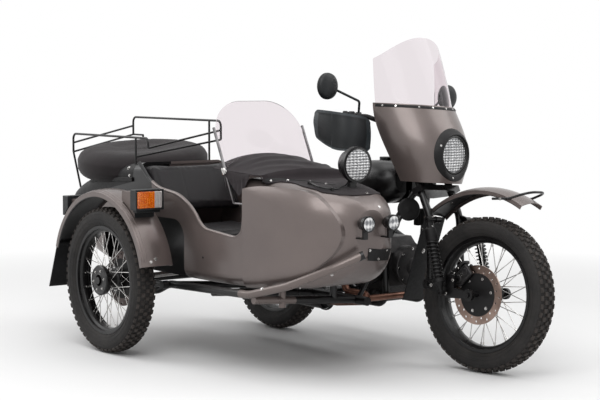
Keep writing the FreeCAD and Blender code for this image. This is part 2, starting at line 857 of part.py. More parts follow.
def hand_guard():
    end, out = along_bar(0)
    x_out = end.x
    back = end.y + grip_radius
    front = guard_front
    def outline(offset):
        return [V(x_out + offset, back, guard_low), V(x_out + offset, (back + front) / 2, guard_low),
                V(x_out * 0.9 + offset, front + guard_round * 1.2 - offset, guard_low),
                V(guard_inner, front - offset, guard_low)]
    inner, outer = outline(0), outline(guard_wall)
    edges = bent_wire(inner, guard_round).Edges + bent_wire(outer, guard_round + guard_wall).Edges
    edges.append(Part.LineSegment(inner[0], outer[0]).toShape())
    edges.append(Part.LineSegment(inner[-1], outer[-1]).toShape())
    band = Part.Face(Part.Wire(Part.__sortEdges__(edges))).extrude(V(0, 0, guard_top - guard_low))
    tall, deep, wide = guard_top - guard_low, back - front + guard_round, x_out - guard_inner
    side = prism_x([(front - guard_round + deep * a, guard_low + tall * h) for a, h in guard_edge_shares],
                   guard_inner, x_out + guard_round)
    top = guard_top - tall * guard_fall_share
    face = [V(x, front - guard_round, z) for x, z in
            ((guard_inner, guard_low), (x_out + guard_round, guard_low), (x_out + guard_round, guard_top),
             (x_out - wide * 0.2, guard_top), (x_out - wide * 0.7, top), (guard_inner, top))]
    front_form = Part.Face(Part.makePolygon(face + face[:1])).extrude(V(0, deep, 0))
    corner = [e for e in front_form.Edges if abs(e.Vertexes[0].Y - e.Vertexes[1].Y) > guard_round
              and e.BoundBox.XMax < guard_inner + guard_wall]
    shape = band.common(front_form.makeFillet(guard_round * 0.6, corner)).common(side)
    bar = rod(end.sub(out * grip_length), end.add(out * guard_round), grip_radius + seat_gap)
    return both(shape.cut(bar))


def mirrors():
    seat, out = along_bar(grip_length + 4.4 * grip_radius)
    ring = pipe(seat.sub(out * handle_radius), seat.add(out * handle_radius), grip_radius * 1.2,
                handle_radius + shaft_gap)
    head = V(mirror_half, mirror_y, mirror_height)
    knee = V(seat.x + grip_radius, seat.y - grip_radius, mirror_height - mirror_radius)
    stalk = bent_tube([seat.add(V(0, 0, grip_radius)), knee, head.sub(V(mirror_wall, 0, 0))],
                      bar_tube_radius, grip_radius)
    glass = Part.makeCylinder(mirror_radius, mirror_wall, head, V(0, -1, 0))
    return both(fused([ring, stalk, glass]))


def front_caliper():
    # Set over the disc's edge on the right side, and carried by the leading link
    x = -disc_offset
    gap = disc_wall / 2 + brake_pad_gap
    low, high = disc_carrier_radius + caliper_half / 2, disc_radius + caliper_half / 2
    body = box(x - caliper_half, x + caliper_half, low, high, -caliper_length / 2, caliper_length / 2)
    slot = box(x - gap, x + gap, low - cut_over, disc_radius + brake_pad_gap, -caliper_length, caliper_length)
    arm_x = -(fork_half_spread + fork_tube_radius + seat_gap)
    pad = box(arm_x - link_wall, x - caliper_half, low, high - caliper_half / 2, -caliper_length / 2, 0)
    shape = fused([body.cut(slot), pad])
    shape.rotate(V(0, 0, 0), X_AXIS, caliper_deg)
    shape.translate(front_hub)
    return shape


# Motorcycle frame, engine and rear end

def spine_points():
    high = head_high - 3 * frame_tube_radius
    return [V(0, steer_y(high) + head_tube_radius / 2, high), V(0, spine_back, spine_height),
            V(0, rail_front, rail_height)]


def down_tube_point(side, share):
    r = frame_tube_radius
    high = head_low + 2 * r
    start = V(side * r, steer_y(high) + head_tube_radius / 2, high)
    end = V(side * cradle_half, cradle_front + r, cradle_knee)
    return start.add(end.sub(start) * share)


def rail_point(side, y):
    r = frame_tube_radius
    share = (y - rail_front - 2 * r) / (rail_back - rail_front - 2 * r)
    return V(side * cradle_half * (1 - 0.2 * share), y, rail_height + 2 * r * share)


def bike_frame():
    r = frame_tube_radius
    c = cradle_half
    head_mid_low = V(0, steer_y(head_low), head_low)
    head_mid_high = V(0, steer_y(head_high), head_high)
    axis = steer_axis()
    head = rod(head_mid_low, head_mid_high, head_tube_radius)
    bore = rod(head_mid_low.sub(axis * cut_over), head_mid_high.add(axis * cut_over), stem_radius + shaft_gap)
    spine = bent_tube(spine_points(), r * 1.2, 4 * r)
    loops = []
    for side in (-1, 1):
        points = [down_tube_point(side, 0), down_tube_point(side, 1), V(side * c, cradle_front, cradle_low),
                  V(side * c, cradle_back, cradle_low), V(side * c, rail_front + 2 * r, rail_height),
                  V(side * c * 0.8, rail_back, rail_height + 2 * r)]
        loops.append(bent_tube(points, r, 4 * r))
    bars = [rod(V(-c, y, z), V(c, y, z), r * 0.9) for y, z in
            ((cradle_front, cradle_low + 2 * r), (cradle_back, cradle_low),
             (rail_front + 2 * r, rail_height - r))]
    tail = rod(V(-c * 0.82, rail_back - r, rail_height + 2 * r),
               V(c * 0.82, rail_back - r, rail_height + 2 * r), r * 0.9)
    between = rail_front + 2 * r - cradle_back
    part_up = (swing_pivot_height - cradle_low) / (rail_height - cradle_low)
    pivot_y = cradle_back + between * part_up
    pivot = rod(V(-c, pivot_y, swing_pivot_height), V(c, pivot_y, swing_pivot_height), r)
    middle = V(0, rail_back - r, rail_height + 2 * r)
    inward = rear_hub.sub(middle)
    inward.normalize()
    lug_end = rear_hub.sub(inward * (rear_fender_radius + seat_gap))
    lug = rod(middle, lug_end, r * 0.9)
    strut_lug = rod(V(-c, strut_lug_y, cradle_low), V(-c, strut_lug_y, rail_z - rail_drop + r / 2), r * 0.9)
    return fused([head, spine] + loops + bars + [tail, pivot, lug, strut_lug]).cut(bore)


def swing_pivot():
    part_up = (swing_pivot_height - cradle_low) / (rail_height - cradle_low)
    y = cradle_back + (rail_front + 2 * frame_tube_radius - cradle_back) * part_up
    return V(0, y, swing_pivot_height)


def swing_arm():
    pivot = swing_pivot()
    c = cradle_half - frame_tube_radius - seat_gap
    arms = []
    for side in (-1, 1):
        start = V(side * (c - arm_radius), pivot.y + frame_tube_radius + arm_radius, pivot.z)
        arms.append(rod(start, V(side * arm_half, 0, rear_hub.z), arm_radius))
    cross = rod(V(-c + arm_radius, pivot.y + frame_tube_radius + arm_radius, pivot.z),
                V(c - arm_radius, pivot.y + frame_tube_radius + arm_radius, pivot.z), arm_radius)
    bush = box(-c, c, pivot.y + frame_tube_radius + seat_gap, pivot.y + frame_tube_radius + arm_radius,
               pivot.z - arm_radius * 0.6, pivot.z + arm_radius * 0.6)
    hub_end = hub_half_length + seat_gap
    housing = turned([(-drive_depth, 0), (-drive_depth, drive_radius * 0.7),
                      (-drive_depth * 0.7, drive_radius),
                      (-hub_end - drive_depth * 0.15, drive_radius), (-hub_end, drive_radius * 0.6),
                      (-hub_end, 0)],
                     rear_hub, X_AXIS)
    axle = rod(rear_hub.sub(V(drive_depth, 0, 0)), rear_hub.add(V(arm_half + arm_radius * 1.3, 0, 0)),
               axle_radius)
    boss = rod(rear_hub.add(V(arm_half - arm_radius, 0, 0)), rear_hub.add(V(arm_half + arm_radius, 0, 0)),
               arm_radius * 1.3)
    return fused(arms + [cross, bush, housing, axle, boss])


def rear_shocks():
    foot = V(arm_half + arm_radius + shock_spring_radius, -rear_shock_ahead, rear_hub.z)
    on_rail = rail_point(1, -rear_shock_ahead - 3 * arm_radius)
    top = on_rail.add(V(frame_tube_radius + shock_spring_radius, 0, 0))
    run = top.sub(foot)
    body = [rod(foot, top, shock_radius * 0.55), rod(foot.add(run * 0.16), foot.add(run * 0.86),
                                                     shock_spring_radius)]
    eyes = [rod(p.sub(V(shock_spring_radius - seat_gap, 0, 0)), p.add(V(shock_eye_radius, 0, 0)),
                shock_eye_radius) for p in (foot, top)]
    return both(fused(body + eyes))


def rear_fender():
    return curved_fender(rear_hub, rear_fender_radius, rear_fender_half_width, fender_crown, fender_wall,
                         rear_fender_front_deg, rear_fender_back_deg, fender_crown * 2.4)


def tail_lamp():
    seat = arc_point(rear_hub, rear_fender_radius, 150)
    shell = box(-tail_lamp_half, tail_lamp_half, seat.y - tail_lamp_half, seat.y + tail_lamp_half * 1.4,
                seat.z - tail_lamp_half * 0.4, seat.z + tail_lamp_half * 0.9)
    keep_out = Part.makeCylinder(rear_fender_radius + seat_gap, 4 * tail_lamp_half,
                                 rear_hub.sub(V(2 * tail_lamp_half, 0, 0)), X_AXIS)
    return shell.cut(keep_out)


def rounded_ring(y, x0, x1, z0, z1, radius):
    r = min(radius, (x1 - x0) * 0.48, (z1 - z0) * 0.48)
    k = r * (1 - math.sqrt(0.5))
    p = [(x0 + r, z0), (x1 - r, z0), (x1 - k, z0 + k), (x1, z0 + r), (x1, z1 - r), (x1 - k, z1 - k),
         (x1 - r, z1), (x0 + r, z1), (x0 + k, z1 - k), (x0, z1 - r), (x0, z0 + r), (x0 + k, z0 + k)]
    q = [V(x, y, z) for x, z in p]
    edges = []
    for i in range(0, 12, 3):
        edges.append(Part.LineSegment(q[i], q[i + 1]).toShape())
        edges.append(Part.Arc(q[i + 1], q[i + 2], q[(i + 3) % 12]).toShape())
    return Part.Wire(edges)


def fuel_tank():
    rings = [rounded_ring(tank_front + tank_length * s, -tank_half_width * w, tank_half_width * w,
                          tank_top - tank_depth * (1 - low), tank_top - tank_depth * (1 - high),
                          tank_depth * 0.42)
             for s, w, low, high in tank_shares]
    shell = Part.makeLoft(rings, True, False)
    # The tunnel under the tank straddles the spine tube and rests on its top
    r = frame_tube_radius * 1.2 + seat_gap
    start, bend, end = spine_points()
    slot = prism_x([(start.y, start.z), (start.y, tank_top - 2 * tank_depth),
                    (end.y, tank_top - 2 * tank_depth),
                    (end.y, bend.z), (bend.y, bend.z)], -r, r)
    return shell.cut(slot).cut(bent_tube([start, bend, end], r, 4 * frame_tube_radius))


def fuel_cap():
    y = tank_front + tank_length * 0.4
    return Part.makeCylinder(cap_radius, cap_depth + cap_radius, V(0, y, tank_top - cap_radius), Z_AXIS)


def saddle():
    r = frame_tube_radius
    front = tank_front + tank_length + seat_gap * 10
    low = rail_height + 2 * r + r + seat_gap
    outline = [(front, low), (rail_back, low), (rail_back + r, low + r), (rail_back - r, saddle_height + r),
               (rail_front + 9 * r, saddle_height + r), (rail_front + 5 * r, saddle_height - r),
               (front + 2 * r, saddle_height - r),
               (front, low + 2 * r)]
    shape = prism_x(outline, -saddle_half_width, saddle_half_width)
    long_edges = [e for e in shape.Edges if e.Vertexes[0].X == e.Vertexes[-1].X and e.BoundBox.ZMin > low + r]
    return shape.makeFillet(r * 1.4, long_edges)


def engine_block():
    b = block_half_width
    front, back = engine_middle - engine_ahead, engine_middle + engine_behind
    low, high = cradle_low + frame_tube_radius + block_lift, engine_height + block_rise
    outline = [(front, low + b / 3), (front + b / 3, low), (back, low), (back, high - b * 0.5),
               (back - b / 3, high), (front + b / 2, high), (front, high - b / 2)]
    case = prism_x(outline, -b * 0.74, b * 0.74)
    waist = Part.makeCylinder(cylinder_radius * 1.15, 2 * b, V(-b, engine_middle, engine_height), X_AXIS)
    cover = Part.makeCylinder(cylinder_radius * 1.1, b / 3, V(0, front - b / 3, engine_height + b * 0.1),
                              Y_AXIS)
    sump = box(-b * 0.62, b * 0.62, front + b / 2, back - b / 3, low - block_lift * 0.7, low + block_lift)
    gearbox = Part.makeCone(b * 0.78, b * 0.5, gearbox_length, V(0, back, engine_height - b * 0.2), Y_AXIS)
    seat = cradle_low + frame_tube_radius + seat_gap
    lugs = [box(-cradle_half, cradle_half, y, y + b / 4, seat, low + b / 8) for y in (front + b / 2,
                                                                                      back - b)]
    return fused([case, waist, cover, sump, gearbox] + lugs)


def head_start():
    x0 = block_half_width + seat_gap
    return x0 + (cylinder_reach - x0) * barrel_share


def port_out():
    return head_start() + (cylinder_reach - head_start()) / 2


def cylinder(side):
    x0 = block_half_width + seat_gap
    barrel_end = head_start()
    axis = V(side, 0, 0)
    middle = V(side * x0, engine_middle, engine_height)
    barrel = Part.makeCylinder(cylinder_radius * 0.72, barrel_end - x0, middle, axis)
    step = (barrel_end - x0) / fin_count
    fins = [Part.makeCylinder(cylinder_radius, fin_wall, middle.add(axis * (step * (i + 0.5))),
                              axis) for i in range(fin_count)]
    r = cylinder_radius * 0.92
    head = box(-r, r, -r, r, 0, cylinder_reach - barrel_end)
    head = head.makeFillet(r * 0.45,
                           [e for e in head.Edges if abs(e.Vertexes[0].Z - e.Vertexes[1].Z) > r / 2])
    top = [e for e in head.Edges if e.BoundBox.ZMin > (cylinder_reach - barrel_end) * 0.9]
    head = head.makeFillet(r * 0.2, top)
    head.Placement = FreeCAD.Placement(middle.add(axis * (barrel_end - x0)), FreeCAD.Rotation(Z_AXIS, axis))
    return fused([barrel, head] + fins)


def exhaust(barrel):
    port_x = port_out()
    port = V(port_x, engine_middle - cylinder_radius * 0.5, engine_height - cylinder_radius * 0.92 - seat_gap)
    run = [port, V(port_x, port.y - pipe_radius, port.z - pipe_radius * 2),
           V(header_out, header_front, header_low + pipe_radius),
           V(header_out, header_front + 2 * pipe_radius, header_low - pipe_radius),
           V(header_out, muffler_start - 3 * pipe_radius, muffler_height),
           V(header_out, muffler_start + pipe_radius, muffler_height)]
    whole = bent_tube([V(-p.x, p.y, p.z) for p in run], pipe_radius, 2.2 * pipe_radius)
    right = max(whole.cut(barrel).Solids, key=lambda q: q.Volume)
    half_cross = rod(V(-header_out, header_front, header_low), V(0, header_front, header_low),
                     pipe_radius * 0.86)
    return fused(both(fused([right, half_cross])))


def mufflers():
    m, e = muffler_start, muffler_end
    gap = pipe_radius + seat_gap
    profile = [(0, gap), (0, muffler_radius * 0.6), (muffler_radius, muffler_radius),
               (e - m - muffler_radius, muffler_radius),
               (e - m, muffler_radius * 0.6), (e - m, pipe_radius * 0.6),
               (muffler_radius, pipe_radius * 0.6), (muffler_radius, gap)]
    return [turned(profile, V(s * header_out, m, muffler_height), Y_AXIS) for s in (-1, 1)]


def intake():
    x = port_out()
    r = intake_radius
    box_back = engine_middle + engine_behind
    plenum = box(-block_half_width * 0.6, block_half_width * 0.6, box_back - 3 * r, box_back + 3 * r,
                 engine_height + block_rise + seat_gap, engine_height + block_rise + 4 * r)
    pipes = []
    for side in (-1, 1):
        start = V(side * x, engine_middle + cylinder_radius * 0.92 + seat_gap, engine_height + r)
        pipes.append(bent_tube([start, start.add(V(0, 3 * r, 0)),
                                V(side * (block_half_width * 0.6), box_back + r,
                                  engine_height + block_rise + 2 * r),
                                V(0, box_back + r, engine_height + block_rise + 2 * r)], r, 2 * r))
    return fused([plenum] + pipes)


def side_covers():
    c = cradle_half
    r = frame_tube_radius
    x0 = c + r + seat_gap
    lo, hi = swing_pivot_height + 8 * r, rail_height - 2 * r
    outline = [(cradle_back + r, lo), (cradle_back + 13 * r, lo + 2 * r), (cradle_back + 17 * r, hi),
               (cradle_back + 2 * r, hi)]
    plate = prism_x(outline, x0, x0 + cover_wall)
    return both(plate)


def foot_controls():
    r = peg_radius
    y = cradle_back - 9 * r
    x0 = cradle_half + frame_tube_radius + seat_gap
    z = muffler_height + muffler_radius + 2 * r
    peg = rod(V(x0, y, z), V(x0 + peg_length, y, z), r)
    plate = box(x0, x0 + r, y - 3 * r, y + 3 * r, cradle_low - r, z + r)
    lever = bent_tube([V(x0 + r, y - 2 * r, z), V(x0 + r, y - 9 * r, z - r),
                       V(x0 + 5 * r, y - 15 * r, z + r)], r * 0.5, r * 2)
    return both(fused([peg, plate, lever]))


# Sidecar body

def tub_form(grow):
    width = tub_in - tub_out
    rings = []
    for s, a, b, low, high, r in tub_shares:
        end = -grow if s == 0 else grow if s == 1 else 0
        rings.append(rounded_ring(tub_nose + tub_length * s + end, tub_out + width * a - grow,
                                  tub_out + width * b + grow,
                                  tub_floor + tub_height * low - grow, tub_floor + tub_height * high + grow,
                                  tub_height * r + grow))
    return Part.makeLoft(rings, True, False)


def cockpit_rim_points(x):
    length = cockpit_back - cockpit_front
    drop = tub_floor + tub_height - cockpit_sill
    return [V(x, cockpit_back - length * s, tub_floor + tub_height - drop * d) for s, d in cockpit_rim_shares]


def cockpit_cutter():
    top = tub_floor + tub_height + cut_over
    line = bent_wire(cockpit_rim_points(tub_out - cut_over), cockpit_bend)
    ends = [line.Vertexes[0].Point, line.Vertexes[-1].Point]
    first, last = cockpit_rim_points(tub_out - cut_over)[0], cockpit_rim_points(tub_out - cut_over)[-1]
    corners = [last, V(last.x, last.y, top), V(first.x, first.y, top), first]
    closing = [Part.LineSegment(a, b).toShape() for a, b in zip(corners, corners[1:])]
    side_cut = Part.Face(Part.Wire(line.Edges + closing)).extrude(V((tub_in - tub_out) / 3, 0, 0))
    well = rounded_well(cockpit_front, cockpit_back)
    return fused([side_cut, well])


def rounded_well(front, back):
    top = tub_floor + tub_height + 3 * cut_over
    w = tub_wall
    shape = box(tub_out + w, tub_in - w, front, back, tub_floor + tub_height * 0.75, top)
    return shape.makeFillet(rim_tube_radius * 3,
                            [e for e in shape.Edges if abs(e.Vertexes[0].Z - e.Vertexes[1].Z) > w])


def side_pod():
    lift = [(pod_back + (pod_front - pod_back) * s, tub_floor + tub_height * h) for s,
            h in pod_outline_shares]
    curve = Part.BSplineCurve()
    points = [V(tub_out - 3 * pod_raise, y, z) for y, z in lift]
    curve.interpolate(points)
    back = Part.LineSegment(points[-1], points[0]).toShape()
    blank = Part.Face(Part.Wire([curve.toShape(), back])).extrude(V((tub_in - tub_out) * 0.5, 0, 0))
    return tub_form(pod_raise).common(blank).cut(tub_form(0))


def lid_region():
    # The rear top of the body, above a line that follows its slope
    rear, top = tub_rear + 2 * cut_over, tub_floor + tub_height
    return prism_x([(cockpit_back + lid_front_gap, top + 2 * cut_over),
                    (cockpit_back + lid_front_gap, top - lid_skirt),
                    (rear, top - lid_skirt - lid_fall), (rear, top + 2 * cut_over)], tub_out - cut_over,
                    tub_in + cut_over)


def wheel_arch(grow):
    shape = box(tub_out - 2 * cut_over, tub_out + arch_depth + grow, arch_front - grow, arch_back + grow,
                tub_floor - 2 * cut_over, arch_top + grow)
    picked = [e for e in shape.Edges if abs(e.Vertexes[0].X - e.Vertexes[1].X) > arch_depth and e.BoundBox.ZMin > arch_top - arch_depth]
    return shape.makeFillet(arch_depth * 1.5 + grow, picked)


def tub():
    outer, inner = tub_form(0), tub_form(-tub_wall)
    region = lid_region()
    bulkhead = inner.common(box(tub_out, tub_in, bulkhead_y, bulkhead_y + tub_wall / 2, tub_floor,
                                tub_floor + tub_height))
    shell = fused([outer.cut(inner), bulkhead])
    arch_wall = wheel_arch(tub_wall).common(outer)
    shell = fused([shell, arch_wall]).cut(wheel_arch(0))
    shell = shell.cut(cockpit_cutter()).cut(region.translated(V(0, 0, -seat_gap)))
    x = tub_out + tub_wall / 2
    rim = bent_tube(cockpit_rim_points(x), rim_tube_radius, cockpit_bend)
    return fused([shell, side_pod(), rim])


def trunk_lid():
    region = lid_region().translated(V(0, seat_gap * 3, 0))
    cap = tub_form(0).common(region)
    return cap.cut(tub_form(-lid_wall))


def spare_cover():
    r, h = spare_radius, spare_half
    half = [(h * a, r * q) for a, q in spare_edge_shares]
    shape = turned(half + [(-a, q) for a, q in half[::-1]], V(0, 0, 0), Z_AXIS)
    shape.rotate(V(0, 0, 0), Y_AXIS, -spare_tilt_deg)
    shape.rotate(V(0, 0, 0), X_AXIS, spare_rise_deg)
    shape.translate(V(spare_middle_x, spare_middle_y, spare_height))
    return shape.cut(tub_form(seat_gap))


def rack():
    r = bar_tube_radius
    gap = rack_rail_gap
    near_high, far_high = rack_near_height, rack_far_height
    far_low = far_high - 2 * gap
    near = [V(rack_near, rack_near_back, near_high - 2 * gap), V(rack_near, rack_near_back, near_high),
            V(rack_near, rack_front, near_high), V(rack_near, rack_front, near_high - gap)]
    far = [V(rack_far, rack_far_back, far_low), V(rack_far, rack_far_back, far_high),
           V(rack_far, rack_front, far_high), V(rack_far, rack_front, far_low)]
    pieces = [bent_tube(near, r, 5 * r), bent_tube(far, r, 5 * r)]
    for drop in (1, 2):
        pieces.append(rod(V(rack_near, rack_near_back, near_high - drop * gap),
                          V(rack_far, rack_far_back, far_high - drop * gap), r * 0.9))
    pieces.append(rod(near[-1], V(rack_far, rack_front, far_high - gap), r * 0.9))
    pieces.append(rod(V(rack_near, rack_foot_front, near_high - 2 * gap), far[-1], r * 0.9))
    pieces.append(rod(far[0], V(rack_far, rack_far_foot, far_low), r * 0.9))
    floor = tub_floor + tub_height * 0.6
    for x, y, high, lean in ((rack_near, rack_near_back, near_high - 2 * gap, rack_foot_in),
                             (rack_far, rack_far_foot, far_low, 0), (rack_near, rack_foot_front, near_high, 0),
                             (rack_far, rack_foot_front - 2 * r, far_high, 0)):
        leg = rod(V(x, y, high), V(x + lean, y - lean / 2, floor), r * 0.94).cut(tub_form(seat_gap))
        pieces.append(max(leg.Solids, key=lambda s: s.BoundBox.ZMax))
    return fused(pieces)


# Sidecar furniture

def seat_cushion():
    x0, x1 = tub_out + arch_depth + tub_wall + seat_gap, tub_in - tub_wall - seat_gap
    shape = box(x0, x1, cushion_front, cushion_back, tub_floor + tub_wall + seat_gap, cushion_high)
    tops = [e for e in shape.Edges if e.BoundBox.ZMin > cushion_high - cushion_wall / 2 or abs(e.Vertexes[0].Z - e.Vertexes[1].Z) > cushion_wall / 2]
    return shape.makeFillet(cushion_wall / 6, tops).common(tub_form(-tub_wall - seat_gap))


def seat_back():
    x0, x1 = tub_out + tub_wall / 2 + rim_tube_radius + seat_gap, tub_in - tub_wall - seat_gap
    low, high = arch_top + tub_wall + seat_gap, tub_floor + tub_height - tub_wall - seat_gap
    outline = [(cushion_back - back_wall, low), (cushion_back, low), (cockpit_back + back_wall / 6, high),
               (cockpit_back + back_wall / 6 - back_wall, high)]
    shape = prism_x(outline, x0, x1)
    return shape.makeFillet(back_wall / 5, shape.Edges).common(tub_form(-tub_wall - seat_gap))


def cloth_form(grow, drop):
    # The arch of the cloth over the front of the cockpit, filled down by the given drop
    half, mid = (tub_in - tub_out) / 2, (tub_in + tub_out) / 2
    length = cover_back - cover_front
    rings = []
    for s, k, e in cover_shares:
        y, low = cover_front + length * s, tub_floor + tub_height * e + grow
        rise = cover_rise * k
        a = [V(mid - half - grow, y, low), V(mid, y, low + rise), V(mid + half + grow, y, low)]
        b = [V(p.x, p.y, p.z - drop) for p in a]
        rings.append(Part.Wire([Part.Arc(*a).toShape(), Part.LineSegment(a[2], b[2]).toShape(),
                                Part.Arc(b[2], b[1], b[0]).toShape(),
                                Part.LineSegment(b[0], a[0]).toShape()]))
    return Part.makeLoft(rings, True, False)


def apron():
    # The thin front of the cloth, which follows the nose
    outline = [(tub_out + (tub_in - tub_out) * a, tub_nose + tub_length * b) for a, b in apron_shares]
    region = prism_z(outline, tub_floor + tub_height * 0.7, tub_floor + 2 * tub_height)
    skin = tub_form(apron_wall).cut(tub_form(seat_gap)).common(region)
    return skin.cut(spot_post())


def tonneau(bars):
    cloth = fused([cloth_form(0, cloth_wall).cut(tub_form(seat_gap)), apron()])
    for bar in bars:
        b = bar.BoundBox
        cloth = cloth.cut(leaned(box(b.XMin - seat_gap, b.XMax + seat_gap, -screen_bar / 2 - seat_gap,
                                     screen_bar / 2 + seat_gap,
                                     0, glass_high - glass_low)))
    return max(cloth.Solids, key=lambda s: s.Volume)


def leaned(shape):
    moved = shape.copy()
    moved.rotate(V(0, 0, 0), X_AXIS, -glass_lean_deg)
    moved.translate(V(0, glass_back, glass_low))
    return moved


def near_bar_x():
    return tub_out + tub_wall / 2


def far_bar_x():
    return tub_in - tub_wall / 2


def side_screen():
    x0, x1 = near_bar_x() + screen_bar / 2 + seat_gap, far_bar_x() - screen_bar / 2 - seat_gap
    tall = (glass_high - glass_low) / math.cos(math.radians(glass_lean_deg))
    shape = box(x0, x1, -screen_wall / 2, screen_wall / 2, 0, tall)
    tops = [e for e in shape.Edges if abs(e.Vertexes[0].Y - e.Vertexes[1].Y) > screen_wall / 2 and e.BoundBox.ZMin > tall / 2]
    shape = leaned(shape.makeFillet((x1 - x0) * 0.36, tops))
    shape = shape.cut(cloth_form(seat_gap, tub_height / 4)).cut(tub_form(seat_gap))
    return max(shape.Solids, key=lambda s: s.Volume)


def screen_bars():
    h = screen_bar / 2
    top = (glass_high - glass_low) * bar_top_share
    near, far = near_bar_x(), far_bar_x()
    near_bar = leaned(box(near - h, near + h, -h, h, near_bar_foot, top))
    far_bar = leaned(box(far - h, far + h, -h, h, 0, top)).cut(tub_form(seat_gap))
    far_bar = max(far_bar.Solids, key=lambda s: s.BoundBox.ZMax)
    foot = leaned(rod(V(near, 0, near_bar_foot), V(near, h, near_bar_foot), h)).BoundBox.Center
    rim_y = cockpit_back + (cockpit_front - cockpit_back) * cockpit_rim_shares[6][0]
    arm = rod(foot, V(foot.x, rim_y, foot.z), h)
    arm = arm.cut(bent_tube(cockpit_rim_points(near), rim_tube_radius + seat_gap, cockpit_bend))
    arm = max(arm.Solids, key=lambda s: s.BoundBox.YMax)
    return [fused([near_bar, arm]), far_bar]


# Sidecar chassis, wheel carrier and fender

def frame_bar_places():
    reach = inner_rail_front - tube_back + 4 * side_tube_radius
    ahead = [(tube_back + reach * s, rail_z) for s in cross_bar_y_shares]
    return [(tube_back - side_tube_radius, rail_z - rail_drop)] + ahead


def sidecar_frame():
    r = side_tube_radius
    low = rail_z - rail_drop
    front = tub_nose - 2.6 * r
    reach = front - drop_start
    run = [V(outer_rail_x, tube_back, low), V(outer_rail_x, drop_start, low),
           V(outer_rail_x, drop_start - 5 * r, rail_z)]
    run = run + [V(outer_rail_x + r * a, drop_start + reach * s, rail_z + r * b) for s, a, b in bumper_shares]
    outer = bent_tube(run, r * 0.9, 10 * r)
    inner = rod(V(inner_rail_x, tube_back, low), V(inner_rail_x, inner_rail_front, low), r)
    bars = [rod(V(outer_rail_x, y, z), V(inner_rail_x, y, low), r * 0.85) for y, z in frame_bar_places()]
    post = rod(V(outer_rail_x + r, post_y, low), V(outer_rail_x + r, post_y, post_top), r * 0.6)
    return fused([outer, inner, post] + bars)


def tub_mounts(chassis):
    r = side_tube_radius
    cutter = tub_form(seat_gap)
    seats = []
    for y, z in (frame_bar_places()[0], frame_bar_places()[3]):
        for x in (tub_out + 6 * r, tub_in - 5 * r):
            block = Part.makeCylinder(r * 0.8, tub_floor + tub_height * 0.3 - rail_z,
                                      V(x, y, rail_z - rail_drop), Z_AXIS)
            block = block.cut(cutter)
            clear = [s for s in block.Solids if s.BoundBox.ZMax < tub_floor +
                     tub_height * 0.25 and s.Volume > r * r * r / 4]
            seats.append(max(clear, key=lambda s: s.BoundBox.ZMax))
    return seats


def sidecar_struts():
    low = rail_z - rail_drop
    share = upright_share
    upright = V(-cradle_half, cradle_back + share * (rail_front + 2 * frame_tube_radius - cradle_back),
                cradle_low + share * (rail_height - cradle_low))
    return [(V(inner_rail_x, front_strut_y, low), down_tube_point(-1, front_strut_share)),
            (V(inner_rail_x, strut_lug_y, low), V(-cradle_half, strut_lug_y, low)),
            (V(inner_rail_x, cradle_back, low), upright),
            (V(inner_rail_x, rear_strut_y, low), rail_point(-1, rear_strut_y))]


def strut_solids(frame, chassis):
    solids = []
    grown = [frame, chassis]
    for a, b in sidecar_struts():
        bar = rod(a, b, strut_radius)
        for other in grown:
            bar = bar.cut(other)
        solids.append(max(bar.Solids, key=lambda s: s.Volume))
    return solids


def sidecar_arm():
    x = outer_rail_x - side_tube_radius - arm_radius * 0.8 - seat_gap
    pivot = V(x, side_hub.y - arm_length, rail_z)
    axle_at = V(x, side_hub.y, side_hub.z)
    arm = rod(pivot, axle_at, arm_radius * 0.8)
    boss = rod(axle_at.sub(V(arm_radius * 0.8, 0, 0)), axle_at.add(V(arm_radius * 0.8, 0, 0)),
               arm_radius * 1.4)
    pin = rod(pivot.sub(V(arm_radius * 0.8, 0, 0)), pivot.add(V(arm_radius * 0.8, 0, 0)), arm_radius)
    axle = rod(axle_at, side_hub.sub(V(hub_half_length + 2 * axle_radius, 0, 0)), axle_radius)
    nut = rod(side_hub.sub(V(hub_half_length + seat_gap, 0, 0)),
              side_hub.sub(V(hub_half_length + 2 * axle_radius, 0, 0)), axle_radius * 1.7)
    return fused([arm, boss, pin, axle, nut])


def drive_shaft():
    x_end = outer_rail_x - side_tube_radius - arm_radius * 0.8 - seat_gap + arm_radius * 0.8 + seat_gap
    a = V(-drive_depth - seat_gap, 0, rear_hub.z + seat_gap)
    b = V(x_end, side_hub.y, side_hub.z)
    run = b.sub(a)
    shaft = rod(a, b, axle_radius * 1.3)
    cups = [rod(a, a.add(run * 0.06), arm_radius * 1.2), rod(b.sub(run * 0.06), b, arm_radius * 1.2)]
    return shaft, cups


def side_fender_centre():
    return side_hub.add(V(fender_shift, 0, 0))


def side_fender():
    return curved_fender(side_fender_centre(), side_fender_radius, side_fender_half, fender_crown,
                         fender_wall,
                         side_fender_front_deg, side_fender_rear_deg, fender_crown * 2.2)


def fender_stays():
    centre = side_fender_centre()
    x0 = centre.x + side_fender_half + seat_gap
    stays = []
    for deg, x in ((68, tub_out + tub_wall), (112, tub_out + tub_wall)):
        p = arc_point(centre, side_fender_radius - fender_crown * 1.6, deg)
        stays.append(rod(V(x0, p.y, p.z), V(x, p.y, p.z), bar_tube_radius * 1.4))
    return [min(s.cut(tub_form(seat_gap)).Solids, key=lambda s: s.BoundBox.XMin) for s in stays]


def side_flap():
    centre = side_fender_centre()
    lip = arc_point(centre, side_fender_radius - fender_crown - fender_wall, side_fender_rear_deg)
    half = side_fender_half - fender_wall - seat_gap
    low = side_hub.z - side_fender_half + flap_wall
    back = lip.y + side_fender_half
    outline = [(lip.y - 2 * flap_wall, lip.z + 4 * flap_wall), (lip.y - flap_wall, lip.z + 4 * flap_wall),
               (back, low), (back - flap_wall, low)]
    return prism_x(outline, centre.x - half, centre.x + half).cut(side_fender())


